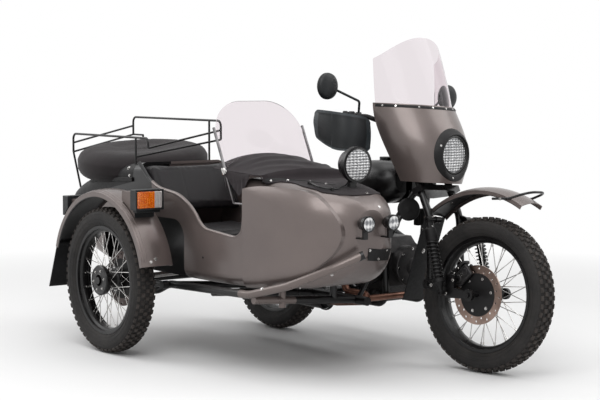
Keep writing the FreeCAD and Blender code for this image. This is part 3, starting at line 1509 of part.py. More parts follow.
def fender_keep_out():
    return Part.makeCylinder(side_fender_radius + seat_gap, 4 * marker_half,
                             side_fender_centre().sub(V(2 * marker_half, 0, 0)), X_AXIS)


def marker(sign, lens_only):
    # sign is -1 at the front of the fender and 1 at its rear
    centre = side_fender_centre()
    y = centre.y + sign * (marker_reach if sign < 0 else marker_reach * 0.98)
    z = marker_height if sign < 0 else marker_height - marker_tall * 1.4
    shell = box(centre.x - marker_half, centre.x + marker_half, min(y, y - sign * marker_depth),
                max(y, y - sign * marker_depth), z - marker_tall, z + marker_tall)
    shell = shell.makeFillet(marker_tall / 8,
                             [e for e in shell.Edges if abs(e.Vertexes[0].Y - e.Vertexes[1].Y) > marker_depth / 2])
    face = box(centre.x - marker_half * 0.88, centre.x + marker_half * 0.88,
               min(y, y + sign * marker_lens), max(y, y + sign * marker_lens), z - marker_tall * 0.8,
               z + marker_tall * 0.8)
    if lens_only:
        return face.translated(V(0, sign * seat_gap, 0))
    return shell.cut(fender_keep_out())


def marker_arm_box(sign):
    centre = side_fender_centre()
    y = centre.y + sign * (marker_reach if sign < 0 else marker_reach * 0.98) - sign * (marker_depth +
                                                                                        seat_gap)
    z = marker_height if sign < 0 else marker_height - marker_tall * 1.4
    shape = box(centre.x - marker_half * 0.7, centre.x + marker_half * 0.7, min(y, y - sign * marker_arm),
                max(y, y - sign * marker_arm), z - 2 * marker_tall, z + marker_tall * 0.7)
    solids = shape.cut(fender_keep_out()).Solids
    return max(solids, key=lambda s: s.Volume)


def fog_lamp_places():
    return [V(fog_x, fog_y, fog_z), V(fog_x + fog_apart, fog_y, fog_z)]


def small_lamp(front, radius, depth):
    profile = [(0, radius), (0, radius * 1.1), (depth * 0.25, radius * 1.1), (depth * 0.7, radius * 0.85),
               (depth, radius * 0.5), (depth, 0), (radius * 0.12, 0), (radius * 0.12, radius)]
    return turned(profile, front, Y_AXIS)


def lamp_lens(front, radius):
    return turned([(radius * 0.12 - seat_gap, 0), (radius * 0.12 - seat_gap, radius - seat_gap),
                   (seat_gap, radius - seat_gap), (-radius * 0.1, radius * 0.6), (-radius * 0.16, 0)],
                   front, Y_AXIS)


def fog_lamps():
    solids = []
    for p in fog_lamp_places():
        bowl = small_lamp(p, fog_radius, fog_radius * 1.9)
        foot = box(p.x - fog_radius * 0.35, p.x + fog_radius * 0.35, p.y + fog_radius * 0.6,
                   p.y + fog_radius, p.z - fog_radius * 2, p.z - fog_radius * 0.8)
        shelf = box(p.x - fog_radius * 0.35, p.x + fog_radius * 0.35, p.y + fog_radius * 0.6,
                    p.y + fog_radius * 8, p.z - fog_radius * 2.1, p.z - fog_radius * 1.9)
        shelf = shelf.cut(tub_form(seat_gap))
        shelf = min(shelf.Solids, key=lambda s: s.BoundBox.YMin)
        solids.append(fused([bowl, foot, shelf]))
    return solids


def spot_post():
    p = V(spot_x, spot_y, spot_z)
    post = box(p.x - spot_radius / 4, p.x + spot_radius / 4, p.y + spot_radius * 0.4,
               p.y + spot_radius * 0.7, tub_floor + tub_height * 0.6, p.z - spot_radius * 0.6)
    post = post.cut(tub_form(seat_gap))
    return max(post.Solids, key=lambda s: s.BoundBox.ZMax)


def spot_lamp():
    return fused([small_lamp(V(spot_x, spot_y, spot_z), spot_radius, spot_radius * 1.25), spot_post()])


def cable_points(form):
    # From the spot lamp's underside over the cloth to the clip, then back to the gland
    points = [V(spot_x - cable_reach * a, spot_y + cable_reach * b, spot_z - spot_radius * c)
              for a, b, c in cable_lead_shares]
    for a, b in cable_way_shares:
        x, y = spot_x - cable_reach * a, spot_y + cable_reach * b
        line = Part.LineSegment(V(x, y, tub_floor), V(x, y, spot_z)).toShape()
        points.append(V(x, y, line.common(form).BoundBox.ZMax + 2 * cable_radius))
    return points


def spot_cable(lamp):
    form = tub_form(apron_wall + seat_gap)
    points = cable_points(form)
    r, end = cable_radius, points[-1]
    gland = Part.makeCylinder(gland_radius, 4 * r, V(end.x, end.y, end.z - 3 * r), Z_AXIS).cut(form)
    cable = bent_tube(points, r, 12 * r).cut(lamp).cut(gland)
    cable = max(cable.Solids, key=lambda s: s.Volume)
    hold = points[clip_index].add(points[clip_index + 1]) * 0.5
    run = points[clip_index + 1].sub(points[clip_index])
    clip = box(-clip_half, clip_half, -2 * r, 2 * r, -6 * r, 1.5 * r)
    clip.rotate(V(0, 0, 0), Z_AXIS, math.degrees(math.atan2(run.y, run.x)))
    clip.translate(hold)
    clip = max(clip.cut(form).cut(cable).Solids, key=lambda s: s.Volume)
    return [cable, gland, clip]


def build():
    put("front_tyre", steered(tyre(front_hub)))
    put("front_wire_wheel", steered(wire_wheel(front_hub)))
    put("front_brake_disc", steered(brake_disc(front_hub, -1)))
    put("rear_tyre", tyre(rear_hub))
    put("rear_wire_wheel", wire_wheel(rear_hub))
    put("rear_brake_disc", brake_disc(rear_hub, 1))
    put("sidecar_tyre", tyre(side_hub))
    put("sidecar_wire_wheel", fused([wire_wheel(side_hub), hub_drum(side_hub)]))
    put("sidecar_brake_disc", brake_disc(side_hub, 1))
    shell, screen = fairing_shape(), windscreen()
    put("front_fork", steered(fused([fork_leg(-1), fork_leg(1), steering_stem(), lamp_bracket(),
                                     fairing_bar(shell)])))
    put("leading_link", steered(fused([leading_link(), front_caliper()])))
    put("front_shocks", [steered(front_shock(s)) for s in (-1, 1)])
    put("front_fender", steered(front_fender()))
    put("fender_loop", steered(fender_loop()))
    put("front_flap", steered(front_flap()))
    put("fairing", steered(fused([shell] + screen_pads(shell, screen))))
    put("windscreen", steered(screen))
    put("headlamp_housing", [steered(headlamp_bowl()), steered(lamp_surround())])
    put("headlamp_lens", steered(lens(V(0, lamp_front + lamp_rim, lamp_height), Y_AXIS,
                                      lamp_radius - seat_gap, lamp_rim, lamp_rim)))
    put("handlebar", steered(max(fused([handlebar(), dials()]).cut(steering_stem()).Solids,
                                 key=lambda s: s.Volume)))
    put("grips_and_levers", [steered(s) for s in grips() + levers()])
    put("hand_guards", [steered(s) for s in hand_guard()])
    put("mirrors", [steered(s) for s in mirrors()])
    frame = bike_frame()
    put("bike_frame", fused([frame] + foot_controls()))
    put("fuel_tank", fused([fuel_tank(), fuel_cap()]))
    put("saddle", saddle())
    put("engine_block", engine_block())
    barrels = [cylinder(s) for s in (-1, 1)]
    put("exhaust_pipes", exhaust(barrels[0]))
    put("engine_cylinders", barrels)
    put("mufflers", mufflers())
    put("intake", intake())
    put("side_covers", side_covers())
    swing = swing_arm()
    put("swing_arm", swing)
    put("rear_shocks", [max(s.cut(swing).cut(frame).Solids, key=lambda q: q.Volume) for s in rear_shocks()])
    put("rear_fender", rear_fender())
    put("tail_lamp", tail_lamp())
    put("sidecar_tub", tub())
    put("trunk_lid", trunk_lid())
    put("spare_wheel_cover", spare_cover())
    put("luggage_rack", rack())
    put("seat_cushion", seat_cushion())
    put("seat_back", seat_back())
    bars = screen_bars()
    put("tonneau_cover", tonneau(bars))
    put("side_screen", side_screen())
    put("side_screen_frame", bars)
    chassis = sidecar_frame()
    put("sidecar_frame", fused([chassis] + tub_mounts(chassis)))
    put("sidecar_struts", strut_solids(frame, chassis) + fender_stays())
    shaft, cups = drive_shaft()
    arm = sidecar_arm()
    put("drive_shaft", fused([shaft] + cups).cut(swing).cut(arm))
    put("sidecar_arm", arm)
    put("sidecar_fender", side_fender())
    put("sidecar_flap", side_flap())
    put("marker_lamps", [marker(s, False) for s in (-1, 1)] + [marker_arm_box(s) for s in (-1, 1)])
    put("marker_lenses", [marker(s, True) for s in (-1, 1)])
    spot = spot_lamp()
    put("nose_lamps", fog_lamps() + [spot] + spot_cable(spot))
    put("clear_lenses", [lamp_lens(p, fog_radius) for p in fog_lamp_places()] +
        [lamp_lens(V(spot_x, spot_y, spot_z), spot_radius)])


def export():
    os.makedirs("parts", exist_ok=True)
    for name, pieces in nodes.items():
        solids = [s for piece in pieces for s in piece.Solids]
        shape = solids[0] if len(solids) == 1 else Part.makeCompound(solids)
        shape = shape.translated(V(-origin_x, -origin_y, 0))
        shape.exportStep("parts/" + name + ".step")


if __name__ == "__main__":
    build()
    export()
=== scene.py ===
import math

import bmesh
import bpy
from mathutils import Matrix, Vector, noise
from mathutils.bvhtree import BVHTree


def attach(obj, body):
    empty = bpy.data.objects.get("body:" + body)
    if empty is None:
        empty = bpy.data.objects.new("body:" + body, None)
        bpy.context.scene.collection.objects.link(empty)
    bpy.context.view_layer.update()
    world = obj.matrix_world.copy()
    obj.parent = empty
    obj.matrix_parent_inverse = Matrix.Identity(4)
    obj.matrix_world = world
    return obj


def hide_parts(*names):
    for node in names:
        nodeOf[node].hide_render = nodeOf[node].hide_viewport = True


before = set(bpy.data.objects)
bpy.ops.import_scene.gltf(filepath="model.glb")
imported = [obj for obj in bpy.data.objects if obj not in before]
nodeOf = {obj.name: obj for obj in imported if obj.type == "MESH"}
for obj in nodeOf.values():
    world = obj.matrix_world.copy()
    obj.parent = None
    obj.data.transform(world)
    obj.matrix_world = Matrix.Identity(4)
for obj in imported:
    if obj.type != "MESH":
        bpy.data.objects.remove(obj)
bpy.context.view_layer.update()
scene = bpy.context.scene
print("frame loaded,", len(nodeOf), "nodes")

# Sizes are millimetres from the rear axle and the motorcycle's middle plane, as in the part's source
stance = {"origin": (333, 587, 0), "steerFoot": (0, -1595, 0), "steerLean": 28, "steerRest": 8.5,
          "frontHub": (0, -1530, 342), "rearHub": (0, 0, 342), "sideHub": (-1060, -110, 342)}
xAxis = Vector((1, 0, 0))


def at(x, y, z):
    return Vector([(a + o) / 1000 for a, o in zip((x, y, z), stance["origin"])])


def measured(p):
    # The opposite of at()
    return [a * 1000 - o for a, o in zip(p, stance["origin"])]


def steerTurn():
    lean, foot = math.radians(stance["steerLean"]), at(*stance["steerFoot"])
    turn = Matrix.Rotation(math.radians(stance["steerRest"]), 4, Vector((0, math.sin(lean), math.cos(lean))))
    return Matrix.Translation(foot) @ turn @ Matrix.Translation(-foot)


steered = steerTurn()
finishes = {}


# Node tools, for finishes and for geometry trees
def feed(tree, node, inputs):
    # Each input is a value or another node's output
    for key, value in inputs.items():
        if isinstance(value, bpy.types.NodeSocket):
            tree.links.new(value, node.inputs[key])
        else:
            node.inputs[key].default_value = value


def wired(tree, kind, inputs=None, out=0, **settings):
    node = tree.nodes.new(kind)
    for key, value in settings.items():
        setattr(node, key, value)
    feed(tree, node, inputs or {})
    return node.outputs[out]


def reckoned(tree, operation, *terms):
    return wired(tree, "ShaderNodeMath", dict(enumerate(terms)), operation=operation)


def vectorOf(tree, operation, *terms, out=0):
    return wired(tree, "ShaderNodeVectorMath", dict(enumerate(terms)), out, operation=operation)


def rgba(colour):
    # Colours are written as the eye sees them, 0 to 255
    return tuple((c / 255) ** 2.2 for c in colour) + (1,)


def coat(tree, inputs):
    feed(tree, tree.nodes["Principled BSDF"], inputs)


def newFinish(name, inputs):
    finishes[name] = bpy.data.materials.new(name)
    finishes[name].use_nodes = True
    coat(finishes[name].node_tree, inputs)
    return finishes[name].node_tree


def coordinatesOf(tree):
    return wired(tree, "ShaderNodeTexCoord").node.outputs


def placeOf(tree, stretch=(1, 1, 1), turn=(0, 0, 0)):
    return wired(tree, "ShaderNodeMapping", {"Vector": coordinatesOf(tree)["Object"], "Scale": stretch,
                                             "Rotation": turn})


def noiseOf(tree, place, scale, detail=4, rough=0.55):
    return wired(tree, "ShaderNodeTexNoise", {"Vector": place, "Scale": scale, "Detail": detail,
                                              "Roughness": rough}, "Fac")


def toned(tree, source, low, high, dark, light):
    ramp = wired(tree, "ShaderNodeValToRGB", {"Fac": source}).node
    for stop, place, tone in zip(ramp.color_ramp.elements, (low, high), (dark, light)):
        stop.position, stop.color = place, rgba(tone)
    return ramp.outputs["Color"]


def ranged(tree, source, low, high, fromLow=0.3, fromHigh=0.7):
    return wired(tree, "ShaderNodeMapRange", {"Value": source, "From Min": fromLow, "From Max": fromHigh,
                                              "To Min": low, "To Max": high})


def bumped(tree, source, height, strength, below=None):
    inputs = {"Strength": strength, "Distance": height, "Height": source}
    return wired(tree, "ShaderNodeBump", {**inputs, "Normal": below} if below else inputs)


def mixed(tree, factor, first, second):
    return wired(tree, "ShaderNodeMix", {0: factor, 6: first, 7: second}, 2, data_type="RGBA")


# Finishes
def madeFinish(name, look):
    # One recipe for solid surfaces: uneven tone and gloss, a fine grain, flecks, and dust on top faces
    tree = newFinish(name, look.get("sockets", {}))
    place = placeOf(tree)
    colour = toned(tree, noiseOf(tree, place, look["patch"], 5), 0.3, 0.72, *look["tones"])
    fine = noiseOf(tree, place, look["grain"], 3, 0.6)
    if "fleck" in look:
        share, tone = look["fleck"]
        colour = mixed(tree, ranged(tree, fine, 0, share, 0.45, 0.75), colour, rgba(tone))
    if "dust" in look:
        share, tone = look["dust"]
        normal = wired(tree, "ShaderNodeNewGeometry", out="Normal")
        up = ranged(tree, wired(tree, "ShaderNodeSeparateXYZ", {0: normal}, "Z"), 0, share, 0.35, 1)
        colour = mixed(tree, up, colour, rgba(tone))
    scuffs = noiseOf(tree, place, look["patch"] * 7, 6, 0.7)
    coat(tree, {"Base Color": colour, "Roughness": ranged(tree, scuffs, *look["gloss"]),
                "Normal": bumped(tree, fine, look["relief"], 0.4)})


looks = {
    "bodyPaint": {"tones": ((92, 83, 81), (107, 97, 94)), "patch": 2.2, "grain": 900, "relief": 0.0002,
                  "gloss": (0.3, 0.4), "fleck": (0.22, (138, 128, 124)), "dust": (0.08, (132, 125, 121)),
                  "sockets": {"Metallic": 0.55, "Coat Weight": 0.35, "Coat Roughness": 0.16}},
    "blackPaint": {"tones": ((11, 10, 11), (19, 18, 19)), "patch": 5, "grain": 1400, "relief": 0.0002,
                   "gloss": (0.24, 0.42), "dust": (0.05, (58, 55, 55)),
                   "sockets": {"Coat Weight": 0.12, "Coat Roughness": 0.2, "Specular IOR Level": 0.32}},
    "satinBlack": {"tones": ((14, 13, 14), (23, 22, 23)), "patch": 9, "grain": 2200, "relief": 0.0004,
                   "gloss": (0.42, 0.6), "dust": (0.06, (62, 59, 58)), "sockets": {"Specular IOR Level": 0.26}},
    "darkAlloy": {"tones": ((44, 43, 44), (66, 64, 64)), "patch": 14, "grain": 1500, "relief": 0.0007,
                  "gloss": (0.4, 0.62), "sockets": {"Metallic": 0.75}},
    "brightSteel": {"tones": ((176, 174, 172), (206, 204, 202)), "patch": 30, "grain": 2600, "relief": 0.0001,
                    "gloss": (0.14, 0.28), "sockets": {"Metallic": 1.0}},
    "copper": {"tones": ((92, 64, 54), (150, 112, 96)), "patch": 13, "grain": 700, "relief": 0.0003,
               "gloss": (0.28, 0.5), "fleck": (0.35, (78, 60, 58)), "sockets": {"Metallic": 0.9}},
    "tyreBlack": {"tones": ((30, 29, 29), (47, 45, 44)), "patch": 11, "grain": 1300, "relief": 0.0006,
                  "gloss": (0.62, 0.82), "dust": (0.1, (88, 82, 76)), "sockets": {"Specular IOR Level": 0.3}},
    "treadRubber": {"tones": ((40, 37, 36), (64, 59, 56)), "patch": 26, "grain": 1300, "relief": 0.0006,
                    "gloss": (0.62, 0.82), "sockets": {"Specular IOR Level": 0.3}},
    "rubber": {"tones": ((19, 19, 20), (30, 30, 31)), "patch": 12, "grain": 1800, "relief": 0.0005,
               "gloss": (0.5, 0.7), "dust": (0.07, (66, 62, 60)), "sockets": {"Specular IOR Level": 0.25}},
    "plastic": {"tones": ((23, 25, 26), (34, 36, 38)), "patch": 8, "grain": 2600, "relief": 0.0005,
                "gloss": (0.34, 0.5), "sockets": {"Specular IOR Level": 0.3}},
    # Hand guards' shells: a lighter grey copy of the plastic, a painted highlight round the darker panel
    "guardGrey": {"tones": ((38, 43, 46), (52, 58, 61)), "patch": 8, "grain": 2400, "relief": 0.0004,
                  "gloss": (0.3, 0.45)},
    "brushedRail": {"tones": ((88, 87, 88), (122, 120, 121)), "patch": 22, "grain": 1500, "relief": 0.0002,
                    "gloss": (0.28, 0.42), "sockets": {"Metallic": 0.85}},
}
for name, look in looks.items():
    madeFinish(name, look)


def glassFinish(name, tint, sockets):
    tree = newFinish(name, {"Transmission Weight": 1.0, "IOR": 1.45, "Base Color": rgba(tint), **sockets})
    smear = noiseOf(tree, placeOf(tree), 9, 5, 0.7)
    coat(tree, {"Roughness": ranged(tree, smear, 0.0, 0.05, 0.45, 0.8)})


def vinylFinish(name, dark, light):
    # Grained upholstery: small rounded cells over a softer uneven tone
    tree = newFinish(name, {"Coat Weight": 0.04, "Sheen Weight": 0.03, "Specular IOR Level": 0.22})
    place = placeOf(tree)
    cells = wired(tree, "ShaderNodeTexVoronoi", {"Vector": place, "Scale": 520.0}, "Distance",
                  feature="DISTANCE_TO_EDGE")
    broad = noiseOf(tree, place, 6, 5)
    colour = toned(tree, broad, 0.3, 0.7, dark, light)
    grain = bumped(tree, ranged(tree, cells, 0, 1, 0, 0.2), 0.0006, 0.35)
    wrinkle = noiseOf(tree, placeOf(tree, (1, 1, 2.2)), 26, 4)
    coat(tree, {"Base Color": mixed(tree, ranged(tree, cells, 0.35, 0, 0, 0.18), colour, rgba((14, 13, 14))),
                "Roughness": ranged(tree, broad, 0.42, 0.58),
                "Normal": bumped(tree, wrinkle, 0.002, 0.12, grain)})


def clothFinish(name, dark, light):
    # Coated weave: two crossed sets of threads, and a slow change of tone
    tree = newFinish(name, {"Sheen Weight": 0.06, "Sheen Roughness": 0.5, "Specular IOR Level": 0.15})
    place = placeOf(tree)
    crossed = reckoned(tree, "MULTIPLY", *[
        wired(tree, "ShaderNodeTexWave", {"Vector": placeOf(tree, turn=(0, 0, turn)), "Scale": 190.0,
                                          "Distortion": 1.2, "Detail": 2.0}, "Fac") for turn in (0.4, 1.97)])
    broad = noiseOf(tree, place, 4.5, 6, 0.6)
    colour = toned(tree, broad, 0.32, 0.7, dark, light)
    weave = bumped(tree, crossed, 0.0004, 0.3)
    coat(tree, {"Base Color": mixed(tree, ranged(tree, crossed, 0, 0.25, 0, 1), colour, rgba((16, 14, 15))),
                "Roughness": ranged(tree, broad, 0.62, 0.8),
                "Normal": bumped(tree, noiseOf(tree, place, 15, 4), 0.004, 0.2, weave)})


def discFinish(name, hub, axis, low, high):
    # Bare turned ring outside, dark carrier inside: the border is a distance from the axle in metres
    tree, carrier, soft = newFinish(name, {}), 0.0945, 0.0006
    place = coordinatesOf(tree)["Object"]
    away = vectorOf(tree, "CROSS_PRODUCT", vectorOf(tree, "SUBTRACT", place, tuple(hub)), tuple(axis))
    reach = vectorOf(tree, "LENGTH", away, out="Value")
    ring = ranged(tree, reach, 0, 1, carrier - soft, carrier + soft)
    lathed = wired(tree, "ShaderNodeCombineXYZ", {0: reckoned(tree, "MULTIPLY", reach, 1600.0)})
    turning = wired(tree, "ShaderNodeTexNoise", {"Vector": lathed, "Scale": 1.0, "Detail": 2.0}, "Fac")
    tint = toned(tree, noiseOf(tree, place, 11, 4), 0.35, 0.65, low, high)
    steel = mixed(tree, ranged(tree, turning, 0, 0.35), tint, rgba((118, 92, 82)))
    coat(tree, {"Base Color": mixed(tree, ring, rgba((24, 23, 24)), steel),
                "Metallic": ranged(tree, ring, 0.3, 1, 0, 1), "Roughness": ranged(tree, ring, 0.5, 0.3, 0, 1),
                "Normal": bumped(tree, turning, 0.0001, 0.3)})


def facetFinish(name, dark, light, scale, through):
    # A moulded lens of small facets, each painted lighter in its middle as a painted highlight
    tree = newFinish(name, {"Roughness": 0.12, "Transmission Weight": through, "Coat Weight": 1.0,
                            "Coat Roughness": 0.05})
    cells = wired(tree, "ShaderNodeTexVoronoi", {"Vector": placeOf(tree), "Scale": scale}, "Distance")
    coat(tree, {"Base Color": toned(tree, cells, 0.1, 0.6, light, dark),
                "Normal": bumped(tree, cells, 0.002, 0.5)})


def lensFinish(name, across, down, dark, light):
    # Wavy flutes crossed by prisms, with painted shade: darker patches, and darker towards the top
    tree = newFinish(name, {"Metallic": 0.55, "Roughness": 0.1, "Coat Weight": 1.0, "Coat Roughness": 0.03})
    rows, columns = [wired(tree, "ShaderNodeTexWave", {"Vector": placeOf(tree), "Scale": scale, "Distortion": 1.6,
                                                       "Detail": 1.0, "Detail Scale": 3.0}, "Fac",
                           bands_direction=direction) for direction, scale in (("Z", down), ("X", across))]
    cells = reckoned(tree, "ADD", rows, reckoned(tree, "MULTIPLY", columns, 0.6))
    shade = toned(tree, ranged(tree, cells, 0, 1, 0.1, 1.5), 0.2, 0.85, dark, light)
    # Painted shade: uneven dark patches over the lens
    shadePatches = noiseOf(tree, placeOf(tree), 24, 3)
    shade = mixed(tree, ranged(tree, shadePatches, 0, 0.6, 0.5, 0.75), shade, rgba(dark))
    # Painted shade: the lens grows darker towards its top
    height = wired(tree, "ShaderNodeSeparateXYZ", {0: coordinatesOf(tree)["Object"]}, "Z")
    shade = mixed(tree, ranged(tree, height, 0, 0.55, 0.9, 1.0), shade, rgba(tuple(c * 0.8 for c in dark)))
    coat(tree, {"Base Color": shade, "Normal": bumped(tree, cells, 0.003, 0.6)})


glassFinish("screenGlass", (232, 225, 228), {"Specular IOR Level": 0.35, "IOR": 1.14})
glassFinish("lampGlass", (250, 250, 250), {})
facetFinish("amberGlass", (214, 92, 14), (255, 152, 40), 160.0, 0.3)
facetFinish("redGlass", (120, 8, 10), (190, 22, 22), 180.0, 0.25)
lensFinish("flutedGlass", 17.0, 26.0, (92, 93, 96), (214, 214, 214))
lensFinish("fogGlass", 18.0, 9.0, (104, 106, 110), (232, 232, 232))
newFinish("mirror", {"Metallic": 1.0, "Base Color": rgba((232, 232, 234)), "Roughness": 0.05})
vinylFinish("vinyl", (22, 20, 22), (33, 30, 32))
clothFinish("cloth", (33, 29, 31), (48, 43, 45))
clothFinish("coverCloth", (36, 33, 34), (50, 46, 47))
print("finishes made,", len(finishes))


# Mesh tools
def linked(name, data):
    piece = bpy.data.objects.new(name, data)
    scene.collection.objects.link(piece)
    return piece


def smoothed(piece, angle=32):
    mesh = piece.data
    mesh.polygons.foreach_set("use_smooth", [True] * len(mesh.polygons))
    mesh.set_sharp_from_angle(angle=math.radians(angle))
    mesh.update()
    return piece


def keptWork(name, work):
    mesh = bpy.data.meshes.new(name)
    work.to_mesh(mesh)
    work.free()
    return linked(name, mesh)


def settled(piece):
    # Applies the piece's modifiers to a plain mesh
    graph = bpy.context.evaluated_depsgraph_get()
    mesh = bpy.data.meshes.new_from_object(piece.evaluated_get(graph), depsgraph=graph)
    piece.modifiers.clear()
    piece.data = mesh
    return piece


def walled(piece, thick, offset):
    wall = piece.modifiers.new("wall", "SOLIDIFY")
    wall.thickness, wall.offset = thick, offset
    return settled(piece)


def meshOf(name, points, faces, angle=32, closed=True):
    mesh = bpy.data.meshes.new(name)
    mesh.from_pydata([tuple(p) for p in points], [], faces)
    work = bmesh.new()
    work.from_mesh(mesh)
    bmesh.ops.remove_doubles(work, verts=work.verts, dist=1e-5)
    if closed:
        bmesh.ops.recalc_face_normals(work, faces=work.faces)
    work.to_mesh(mesh)
    work.free()
    return smoothed(linked(name, mesh), angle)


def loopFaces(steps, count, loop=True):
    faces = []
    for i in range(steps):
        j = (i + 1) % steps
        for k in range(count if loop else count - 1):
            m = (k + 1) % count
            faces.append((i * count + k, j * count + k, j * count + m, i * count + m))
    return faces


def gridFaces(rows, columns):
    wide = columns + 1
    return [(i * wide + j, (i + 1) * wide + j, (i + 1) * wide + j + 1, i * wide + j + 1)
            for i in range(rows) for j in range(columns)]


def turnedPiece(name, profile, centre, axis, steps=48, angle=32, loop=True):
    # The profile holds (distance along the axis, radius) pairs in millimetres
    axis = Vector(axis).normalized()
    u = axis.cross(Vector((0, 0, 1)) if abs(axis.z) < 0.9 else Vector((0, 1, 0))).normalized()
    v = axis.cross(u).normalized()
    points = []
    for i in range(steps):
        a = 2 * math.pi * i / steps
        around = u * math.cos(a) + v * math.sin(a)
        points += [centre + axis * (d / 1000) + around * (r / 1000) for d, r in profile]
    return meshOf(name, points, loopFaces(steps, len(profile), loop), angle)


def tubeOf(name, points, radius, sides=10, kind="NURBS"):
    curve = bpy.data.curves.new(name, "CURVE")
    curve.dimensions, curve.bevel_depth, curve.use_fill_caps = "3D", radius / 1000, True
    curve.bevel_resolution, curve.resolution_u = max(1, sides // 4), 8
    line = curve.splines.new(kind)
    line.points.add(len(points) - 1)
    for target, point in zip(line.points, points):
        target.co = (*point, 1)
    if kind == "NURBS":
        line.order_u, line.use_endpoint_u = 3, True
    shaped = linked(name, curve)
    mesh = bpy.data.meshes.new_from_object(shaped.evaluated_get(bpy.context.evaluated_depsgraph_get()))
    bpy.data.objects.remove(shaped)
    return smoothed(linked(name, mesh), 50)


def joined(name, pieces, angle=32):
    work = bmesh.new()
    for piece in pieces:
        work.from_mesh(piece.data)
        bpy.data.objects.remove(piece)
    return smoothed(keptWork(name, work), angle)


def blockOf(centre, size, bevel, steps=2, turn=None):
    # A small housing with rounded edges, size in millimetres
    work = bmesh.new()
    bmesh.ops.create_cube(work, size=1.0)
    bmesh.ops.scale(work, vec=[s / 1000 for s in size], verts=work.verts)
    bmesh.ops.bevel(work, geom=work.edges[:], offset=bevel / 1000, segments=steps, affect="EDGES", profile=0.5)
    if turn:
        bmesh.ops.rotate(work, matrix=turn.to_3x3(), verts=work.verts)
    bmesh.ops.translate(work, vec=centre, verts=work.verts)
    return smoothed(keptWork("block", work))


def dressed(piece, finish, body, slot, *nodes, turned=False):
    # Gives a piece its finish, puts it on its body and hides the solids it stands in for
    if turned:
        piece.data.transform(steered)
    piece.data.materials.clear()
    piece.data.materials.append(finishes[finish])
    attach(piece, body)
    if nodes:
        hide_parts(*nodes)
    return piece


def madeOf(name, pieces, angle, finish, body, slot, *nodes, turned=False):
    return dressed(joined(name, pieces, angle), finish, body, slot, *nodes, turned=turned)


# Geometry node trees
def treeOf(name, sockets, build):
    tree = bpy.data.node_groups.new(name, "GeometryNodeTree")
    tree.interface.new_socket("Geometry", in_out="OUTPUT", socket_type="NodeSocketGeometry")
    for label, kind in {**sockets, "Finish": "Material"}.items():
        tree.interface.new_socket(label, in_out="INPUT", socket_type="NodeSocket" + kind)
    given = tree.nodes.new("NodeGroupInput").outputs
    real = wired(tree, "GeometryNodeRealizeInstances", {"Geometry": build(tree, given)})
    coated = wired(tree, "GeometryNodeSetMaterial", {"Geometry": real, "Material": given["Finish"]})
    feed(tree, tree.nodes.new("NodeGroupOutput"), {0: coated})
    return tree


def partsInRing(tree, given):
    # Repeats a part about an axis; the part is drawn where its first copy stands
    share = reckoned(tree, "DIVIDE", wired(tree, "GeometryNodeInputIndex"), given["Count"])
    angle = reckoned(tree, "MULTIPLY_ADD", share, 2 * math.pi, given["Start"])
    copies = wired(tree, "GeometryNodeInstanceOnPoints", {
        "Points": wired(tree, "GeometryNodePoints", {"Count": given["Count"]}),
        "Instance": wired(tree, "GeometryNodeObjectInfo", {"Object": given["Part"]}, "Geometry"),
        "Rotation": wired(tree, "FunctionNodeAxisAngleToRotation", {"Axis": given["Axis"], "Angle": angle})})
    return wired(tree, "GeometryNodeTransform", {"Geometry": copies, "Translation": given["Centre"]})


def springCoil(tree, given):
    # A coil that stands on the origin along Z
    spiral = wired(tree, "GeometryNodeCurveSpiral", {
        "Rotations": given["Turns"], "Start Radius": given["Radius"], "End Radius": given["Radius"],
        "Height": given["Height"], "Resolution": 26})
    ring = wired(tree, "GeometryNodeCurvePrimitiveCircle", {"Radius": given["Wire"], "Resolution": 10})
    wire = wired(tree, "GeometryNodeCurveToMesh", {"Curve": spiral, "Profile Curve": ring, "Fill Caps": True})
    return wired(tree, "GeometryNodeSetShadeSmooth", {"Geometry": wire})


ringTree = treeOf("partsInRing", {"Part": "Object", "Count": "Int", "Axis": "Vector", "Centre": "Vector",
                                  "Start": "Float"}, partsInRing)
coilTree = treeOf("springCoil", {"Turns": "Float", "Radius": "Float", "Wire": "Float", "Height": "Float"},
                  springCoil)


def grown(name, tree, values, finish):
    # Runs a tree on an empty mesh and keeps the result as a plain mesh
    holder = linked(name, bpy.data.meshes.new(name))
    modifier = holder.modifiers.new(name, "NODES")
    modifier.node_group = tree
    values = {**values, "Finish": finishes[finish]}
    for socket in tree.interface.items_tree:
        if socket.in_out == "INPUT":
            modifier[socket.identifier] = values[socket.name]
    bpy.context.view_layer.update()
    return settled(holder)


def ringOf(name, part, count, centre, finish, start=0.0):
    # The part is drawn about the origin, and its copies stand round the X axis through the centre
    ring = grown(name, ringTree, {"Part": part, "Count": count, "Axis": tuple(xAxis), "Centre": tuple(centre),
                                  "Start": start}, finish)
    bpy.data.objects.remove(part)
    return ring


def boltPart(radius, height):
    # A domed hexagon head on a washer, standing on the origin along Z
    work = bmesh.new()
    for sides, low, high, deep, middle in ((14, 1.35, 1.35, 0.3, 0.15), (6, 1, 0.86, 0.8, 0.6)):
        bmesh.ops.create_cone(work, cap_ends=True, segments=sides, radius1=radius * low / 1000,
                              radius2=radius * high / 1000, depth=height * deep / 1000,
                              matrix=Matrix.Translation((0, 0, height * middle / 1000)))
    return smoothed(keptWork("bolt", work), 25)


def boltAt(place, axis, radius, height):
    bolt = boltPart(radius, height)
    turn = Vector((0, 0, 1)).rotation_difference(Vector(axis).normalized()).to_matrix().to_4x4()
    bolt.data.transform(Matrix.Translation(place) @ turn)
    return bolt


def boltRing(name, hub, x, reach, radius, height, start):
    # Six bolt heads on a wheel, facing away from its middle
    bolt = boltPart(radius, height)
    turn = Matrix.Rotation(math.radians(math.copysign(90, x)), 4, "Y")
    bolt.data.transform(Matrix.Translation((x / 1000, 0, reach / 1000)) @ turn)
    return ringOf(name, bolt, 6, at(*hub), "brightSteel", start)


print("tools ready")

